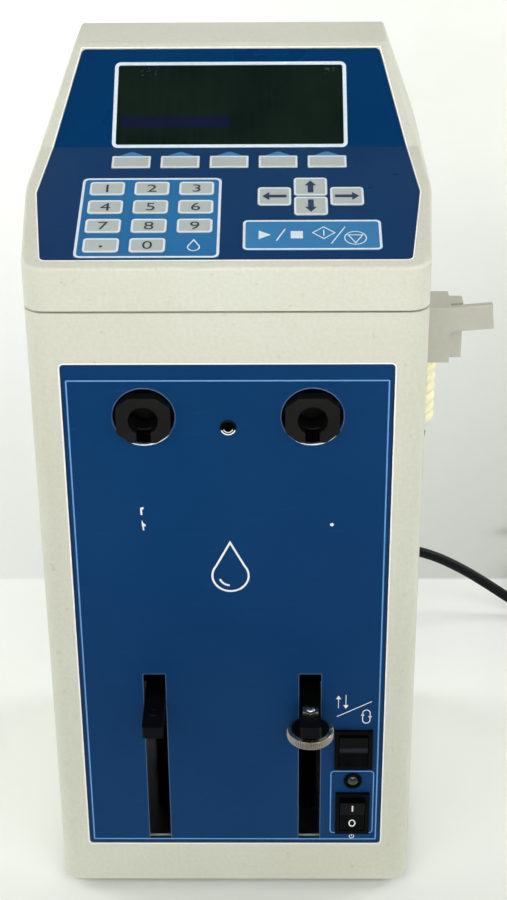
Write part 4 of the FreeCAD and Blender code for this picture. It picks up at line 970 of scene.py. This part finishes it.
# -------- turned and moulded details
def lathe(name, profile, centre, axis, material, body, steps=64, closed=False, phase=0):
    """Turn a profile of (radius, distance along the axis) round a centre; ends at radius 0 close."""
    mesh = bmesh.new()
    rings = []
    for radius, along in profile:
        if radius < 1e-6:
            rings.append([mesh.verts.new((0, 0, along))])
            continue
        outline = arc((0, 0), radius, phase, phase + 360, steps)[:-1]
        rings.append([mesh.verts.new((x, y, along)) for x, y in outline])
    pairs = list(zip(rings, rings[1:]))
    if closed:
        pairs.append((rings[-1], rings[0]))
    for low, high in pairs:
        for index in range(steps):
            after = (index + 1) % steps
            corners = [low[index % len(low)], low[after % len(low)], high[after % len(high)],
                       high[index % len(high)]]
            corners = list(dict.fromkeys(corners))
            mesh.faces.new(corners)
    bmesh.ops.recalc_face_normals(mesh, faces=mesh.faces)
    turn = Z_AXIS.rotation_difference(Vector(axis)).to_matrix().to_4x4()
    mesh.transform(Matrix.Translation(at(*centre)) @ turn @ Matrix.Scale(MM, 4))
    piece = add_piece(name, mesh, material, body, smooth=True)
    sharpen(piece)
    return piece


def sharpen(piece, degrees=35):
    """Keep edges sharper than an angle crisp under smooth shading."""
    mesh = bmesh.new()
    mesh.from_mesh(piece.data)
    for edge in mesh.edges:
        edge.smooth = len(edge.link_faces) == 2 and edge.calc_face_angle() < math.radians(degrees)
    mesh.to_mesh(piece.data)
    mesh.free()


LAMP = (SWITCH_COLUMN, PANEL_SINK, 56.5)
FORWARD = (0, -1, 0)
UPWARD = (0, 0, 1)


def make_lamp():
    """The status lamp: a black bezel ring and a green dome in it."""
    bezel = [(3.75, 0), (3.75, 0.8), (3.5, 1.15), (3.1, 1.3), (2.75, 1.1), (2.6, 0.6), (2.6, 0)]
    ring = lathe("lamp_bezel", bezel, LAMP, FORWARD, SATIN, "case", closed=True)
    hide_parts("status_lamp")
    dome = [(0, -1), (2.55, -1), (2.55, 0.3)]
    dome += [(2.5 * math.cos(turn), 0.3 + 1.15 * math.sin(turn))
             for turn in map(math.radians, range(10, 90, 10))]
    dome.append((0, 1.45))
    lathe("lamp_dome", dome, LAMP, FORWARD, LENS, "case")


SOCKET_HEIGHT = 225.3
SOCKET_HOLE = 11.6
SLOT_HALF = 4.75
SLOT_LOW = 25.5
SLOT_HIGH = 110.1


def make_panel_rims():
    """Painted highlights on the cut edges of the blue panel, at the socket holes and the arm slots.
    """
    for label, side in (("left", -1), ("right", 1)):
        across = side * DRIVE_SPREAD
        middle = (across, PANEL_SINK, SOCKET_HEIGHT)
        rim = [(SOCKET_HOLE + 0.35, 0.02), (SOCKET_HOLE + 0.05, 0.08), (SOCKET_HOLE - 0.12, -0.1),
               (SOCKET_HOLE - 0.12, -1.4), (SOCKET_HOLE + 0.05, -1.4)]
        lathe(f"{label}_hole_rim", rim, middle, FORWARD, EDGE_HIGHLIGHT, "case", 96, closed=True)
        make_socket_pit(label, (across, SOCKET_HEIGHT))
        slot = Print()
        slot.frame((across - SLOT_HALF, SLOT_LOW), (across + SLOT_HALF, SLOT_HIGH), 0.4, 0.3)
        slot.stamp(f"{label}_slot_edge", FRONT_PLANE, THIN_LIFT, EDGE_HIGHLIGHT, "case")


def make_socket_pit(label, centre):
    """Painted shade in the well round a boss, and a painted highlight on the arris at the bottom of
    its hole.
    """
    # Painted shade: a black ring in the well round the boss.
    pit = Print()
    pit.ring(centre, SOCKET_HOLE - 0.15, 5.3)
    pit.stamp(f"{label}_socket_pit", FRONT_PLANE, -1.49, SHADE_BLACK, "case", 0.04)
    first, last, steps, widest = 238, 322, 28, 0.55
    outer = arc(centre, SOCKET_HOLE + 0.3, first, last, steps)
    inner = []
    for index, point in enumerate(outer):
        width = 0.06 + widest * math.sin(math.pi * index / steps)
        towards = (Vector(centre) - Vector(point)).normalized()
        inner.append(tuple(Vector(point) + towards * width))
    # Painted highlight: a white crescent on the lower arris of the hole.
    shine = Print()
    shine.band(outer, inner, closed=False)
    shine.stamp(f"{label}_hole_shine", FRONT_PLANE, 0.1, WHITE_INK_AND_HIGHLIGHT, "case")


INSERT_MIDDLE = (0, 221)


def make_insert_rim():
    """The countersunk lip of the threaded insert between the sockets, with painted highlights, and
    painted shade in its mouth.
    """
    lip = [(3.1, 0.02), (3.0, 0.25), (2.75, 0.32), (2.5, 0.2), (2.35, 0.02)]
    lathe("insert_lip", lip, (INSERT_MIDDLE[0], 0.1, INSERT_MIDDLE[1]), FORWARD, OILED, "case",
          64, closed=True)
    # Painted highlights: white arcs on the lower side of the lip and the bore.
    shine = Print()
    for radius, width in ((2.95, 0.5), (1.95, 0.3)):
        outer = arc(INSERT_MIDDLE, radius, 200, 340, 16)
        shine.band(outer, arc(INSERT_MIDDLE, radius - width, 200, 340, 16), closed=False)
    shine.stamp("insert_shine", FRONT_PLANE, PANEL_SINK + 0.25, WHITE_INK_AND_HIGHLIGHT, "case", 0.03)
    # Painted shade: a black ring in the insert's mouth.
    mouth = Print()
    mouth.ring(INSERT_MIDDLE, 2.4, 0.7)
    mouth.stamp("insert_mouth", FRONT_PLANE, PANEL_SINK - 0.09, SHADE_BLACK, "case", 0.03)


ARM_FRONT = -9
ARM_TOP = 98
LIP_START = 215
LIP_STOP = 325


def make_arm_bush():
    """The bush in the free arm's hole, with a painted highlight on its front lip."""
    wall = [(2.08, 0.06), (1.98, 0.12), (1.85, 0), (1.8, -1.2), (1.8, -4.6), (2.08, -4.6)]
    middle = (-DRIVE_SPREAD, ARM_FRONT)
    lathe("left_arm_bush", wall, (*middle, ARM_TOP), UPWARD, OILED, "left_arm", 48, closed=True)
    # Painted highlight: a bright steel arc on the front of the hole's lip.
    lip_highlight = Print()
    outer, inner = (arc(middle, radius, LIP_START, LIP_STOP, 14) for radius in (2.35, 1.85))
    lip_highlight.band(outer, inner, closed=False)
    top = plane(at(0, 0, ARM_TOP), Vector((0, 1, 0)))
    lip_highlight.stamp("left_arm_painted_highlight", top, 0.07, BRIGHT, "left_arm")


THUMB = (DRIVE_SPREAD, ARM_FRONT, 86)
THUMB_TEETH = 72
TOOTH_STEPS = 4
TOOTH_DEPTH = 0.2
NUT_LOW = 12.05
NUT_HIGH = 13.65
NUT_CORNER = 3.58
RIM_PROFILE = ((8.5, 0), (9.0, 0.25), (9.14, 0.6), (9.14, 3.4), (8.9, 3.65), (7.75, 4.2))
FLUTES_LOW = 0.5
FLUTES_HIGH = 3.6


def fluted_rim():
    """The rim's closed mesh, with fine flutes on its straight side."""
    steps = THUMB_TEETH * TOOTH_STEPS
    mesh = bmesh.new()
    rings = []
    for radius, height in RIM_PROFILE:
        depth = TOOTH_DEPTH if FLUTES_LOW < height < FLUTES_HIGH else 0
        ring = []
        for index in range(steps):
            turn = 2 * math.pi * index / steps
            reach = radius + depth * math.cos(THUMB_TEETH * turn)
            ring.append(mesh.verts.new((reach * math.cos(turn), reach * math.sin(turn), height)))
        rings.append(ring)
    for low, high in zip(rings, rings[1:]):
        for index in range(steps):
            after = (index + 1) % steps
            mesh.faces.new((low[index], low[after], high[after], high[index]))
    mesh.faces.new(rings[0])
    mesh.faces.new(rings[-1])
    bmesh.ops.recalc_face_normals(mesh, faces=mesh.faces)
    return mesh


def make_thumb_screw():
    """The knurled screw: a nickel rim, a top made black as a painted dark reflection, and a nut over
    the arm.
    """
    mesh = fluted_rim()
    mesh.transform(Matrix.Translation(at(*THUMB)) @ Matrix.Scale(MM, 4))
    rim = add_piece("thumb_rim", mesh, KNURL, "thumb_screw")
    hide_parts("plunger_thumb_screw")
    # Painted reflection: the top is black to stand for the dark reflection on its face.
    top = [(0, 4.1), (7.55, 4.1), (7.6, 4.2), (7.5, 4.26), (0, 4.26)]
    lathe("thumb_top", top, THUMB, UPWARD, BLACK, "thumb_screw", 96)
    make_thumb_tip()


def make_thumb_tip():
    """The end of the screw above the arm: a dark nut and a bright dome."""
    stem = [(0, 4.2), (1.95, 4.2), (1.95, NUT_LOW), (0, NUT_LOW)]
    lathe("thumb_stem", stem, THUMB, UPWARD, OILED, "thumb_screw", 32)
    nut = [(1.5, NUT_LOW), (NUT_CORNER, NUT_LOW), (NUT_CORNER, NUT_HIGH - 0.25),
           (NUT_CORNER - 0.35, NUT_HIGH), (1.5, NUT_HIGH)]
    lathe("thumb_nut", nut, THUMB, UPWARD, GUNMETAL, "thumb_screw", 6, closed=True, phase=30)
    dome = [(0, NUT_LOW)]
    dome += [(2.0 * math.cos(turn), NUT_HIGH - 0.2 + 1.1 * math.sin(turn))
             for turn in map(math.radians, range(0, 90, 10))]
    dome.append((0, NUT_HIGH + 0.9))
    lathe("thumb_dome", dome, THUMB, UPWARD, NICKEL, "thumb_screw", 48)


# -------- rocker switches
POWER_HEIGHT = 39.85
ROCKER_DIP = -0.85
ROCKER_END = -2.0
ROCKER_HALF = 8.05
ROCKER_TILT = 8
ROCKER_PIVOT = 2.2


def rocker_plane(side):
    """The face of one half of the power rocker at rest; side is 1 for the upper half."""
    lean = math.atan2((ROCKER_DIP - ROCKER_END) * side, ROCKER_HALF)
    tilt = math.radians(ROCKER_TILT)
    up = Vector((0, -math.sin(lean), math.cos(lean)))
    face = plane(Vector((0, ROCKER_DIP, 0)) * MM, up)
    swing = Matrix.Rotation(tilt, 4, "X")
    pivot = Matrix.Translation(Vector((0, ROCKER_PIVOT, 0)) * MM)
    place = Matrix.Translation(at(SWITCH_COLUMN, 0, POWER_HEIGHT))
    return place @ pivot @ swing @ pivot.inverted() @ face


def print_power_signs():
    """The bar and the ring on the power rocker."""
    bar = Print()
    bar.patch([(-0.32, 2.4), (0.32, 2.4), (0.32, 6.4), (-0.32, 6.4)])
    bar.stamp("power_on_sign", rocker_plane(1), LIFT, WHITE_INK_AND_HIGHLIGHT, "power_rocker")
    ring = Print()
    outer, inner = ([(x * narrow, y - 4.4) for x, y in circle((0, 0), radius)]
                    for radius, narrow in ((1.85, 0.8), (1.3, 0.75)))
    ring.band(outer, inner)
    ring.stamp("power_off_sign", rocker_plane(-1), LIFT, WHITE_INK_AND_HIGHLIGHT, "power_rocker")


# -------- softened edges
BEVELS = (("left_valve_socket", 0.7), ("right_valve_socket", 0.7), ("left_drive_arm", 0.35),
          ("right_drive_arm", 0.35), ("probe_holder", 0.4), ("prime_switch_housing", 0.3),
          ("power_switch_housing", 0.3), ("prime_rocker", 0.3), ("power_rocker", 0.3))


def soften_edges():
    """Small rounds on the moulded parts' edges, which catch the light."""
    for name, width in BEVELS:
        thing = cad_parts[name]
        bevel = thing.modifiers.new("edge_round", "BEVEL")
        bevel.width = width * MM
        bevel.segments = 2
        bevel.limit_method = "ANGLE"
        bevel.angle_limit = math.radians(40)
        bevel.harden_normals = False


# -------- studio
# The sweep of floor and wall, in metres.
SWEEP_HALF = 2.5
SWEEP_FRONT = -2.0
SWEEP_BACK = 1.6
SWEEP_TOP = 2.2
SWEEP_BEND = 0.5


def make_floor():
    """One sheet that runs back along the floor and curves up into the wall."""
    mesh = bmesh.new()
    start = SWEEP_BACK - SWEEP_BEND
    profile = [(SWEEP_FRONT, 0), (start, 0)]
    profile += [(start + SWEEP_BEND * math.sin(turn), SWEEP_BEND - SWEEP_BEND * math.cos(turn))
                for turn in map(math.radians, range(10, 100, 10))]
    profile.append((SWEEP_BACK, SWEEP_TOP))
    rows = [[mesh.verts.new((across, depth, height)) for across in (-SWEEP_HALF, SWEEP_HALF)]
            for depth, height in profile]
    for near, far in zip(rows, rows[1:]):
        mesh.faces.new((near[0], near[1], far[1], far[0]))
    data = bpy.data.meshes.new("studio_sweep")
    mesh.to_mesh(data)
    mesh.free()
    data.shade_smooth()
    data.materials.append(floor_paper())
    show("studio_sweep", data)


def area_light(name, place, target, size, power, spread):
    """A rectangular light that faces its target."""
    data = bpy.data.lights.new(name, "AREA")
    data.shape = "RECTANGLE"
    data.size, data.size_y = size
    data.energy = power
    data.spread = math.radians(spread)
    light = show(name, data)
    light.location = place
    light.rotation_euler = (Vector(target) - Vector(place)).to_track_quat("-Z", "Y").to_euler()


# The heights between which the room darkens, and its strength at each.
SKY = (("From Min", 0.25), ("From Max", 0.95), ("To Min", 0.62), ("To Max", 0.12))


def make_world():
    """A room that is bright near the horizon and dark overhead."""
    world = bpy.data.worlds.new("studio")
    world.use_nodes = True
    tree = world.node_tree
    place = tree.nodes.new("ShaderNodeTexCoord")
    axes = tree.nodes.new("ShaderNodeSeparateXYZ")
    height = tree.nodes.new("ShaderNodeMapRange")
    for key, number in SKY:
        height.inputs[key].default_value = number
    tree.links.new(place.outputs["Generated"], axes.inputs["Vector"])
    tree.links.new(axes.outputs["Z"], height.inputs["Value"])
    background = tree.nodes["Background"]
    background.inputs["Color"].default_value = (0.97, 0.985, 1, 1)
    tree.links.new(height.outputs["Result"], background.inputs["Strength"])
    bpy.context.scene.world = world


# Name, place, target and size in metres, watts, and spread in degrees.
LIGHTS = (
    ("key_left", (-0.9, -1.2, 1.3), (0, 0, 0.25), (0.9, 0.9), 6, 180),
    ("key_right", (0.9, -1.2, 1.3), (0, 0, 0.25), (0.9, 0.9), 6, 180),
    ("front_fill", (0, -1.4, 0.95), (0, 0, 0.3), (0.8, 0.5), 2.6, 180),
    ("head_fill", (0, -1.1, 0.42), (0, 0.05, 0.38), (0.4, 0.3), 0.42, 44),
    ("side_left", (-1.4, 0.5, 0.8), (0, 0.5, 0), (0.7, 0.7), 10, 180),
    ("side_right", (1.4, 0.5, 0.8), (0, 0.5, 0), (0.7, 0.7), 10, 180),
    ("far_floor", (-0.5, 1.5, 0.9), (-0.5, 1.35, 0), (1.3, 0.4), 2, 180),
)


def light_studio():
    bpy.context.scene.view_settings.view_transform = "Standard"
    make_world()
    for light in LIGHTS:
        area_light(*light)


# -------- build
make_camera()
make_cords()
dress_nodes()
soften_edges()
print_panel()
print_number_keys()
print_function_keys()
print_arrow_keys()
print_run_key()
print_overlay()
make_lamp()
make_panel_rims()
make_insert_rim()
make_arm_bush()
make_thumb_screw()
print_power_signs()
make_floor()
light_studio()
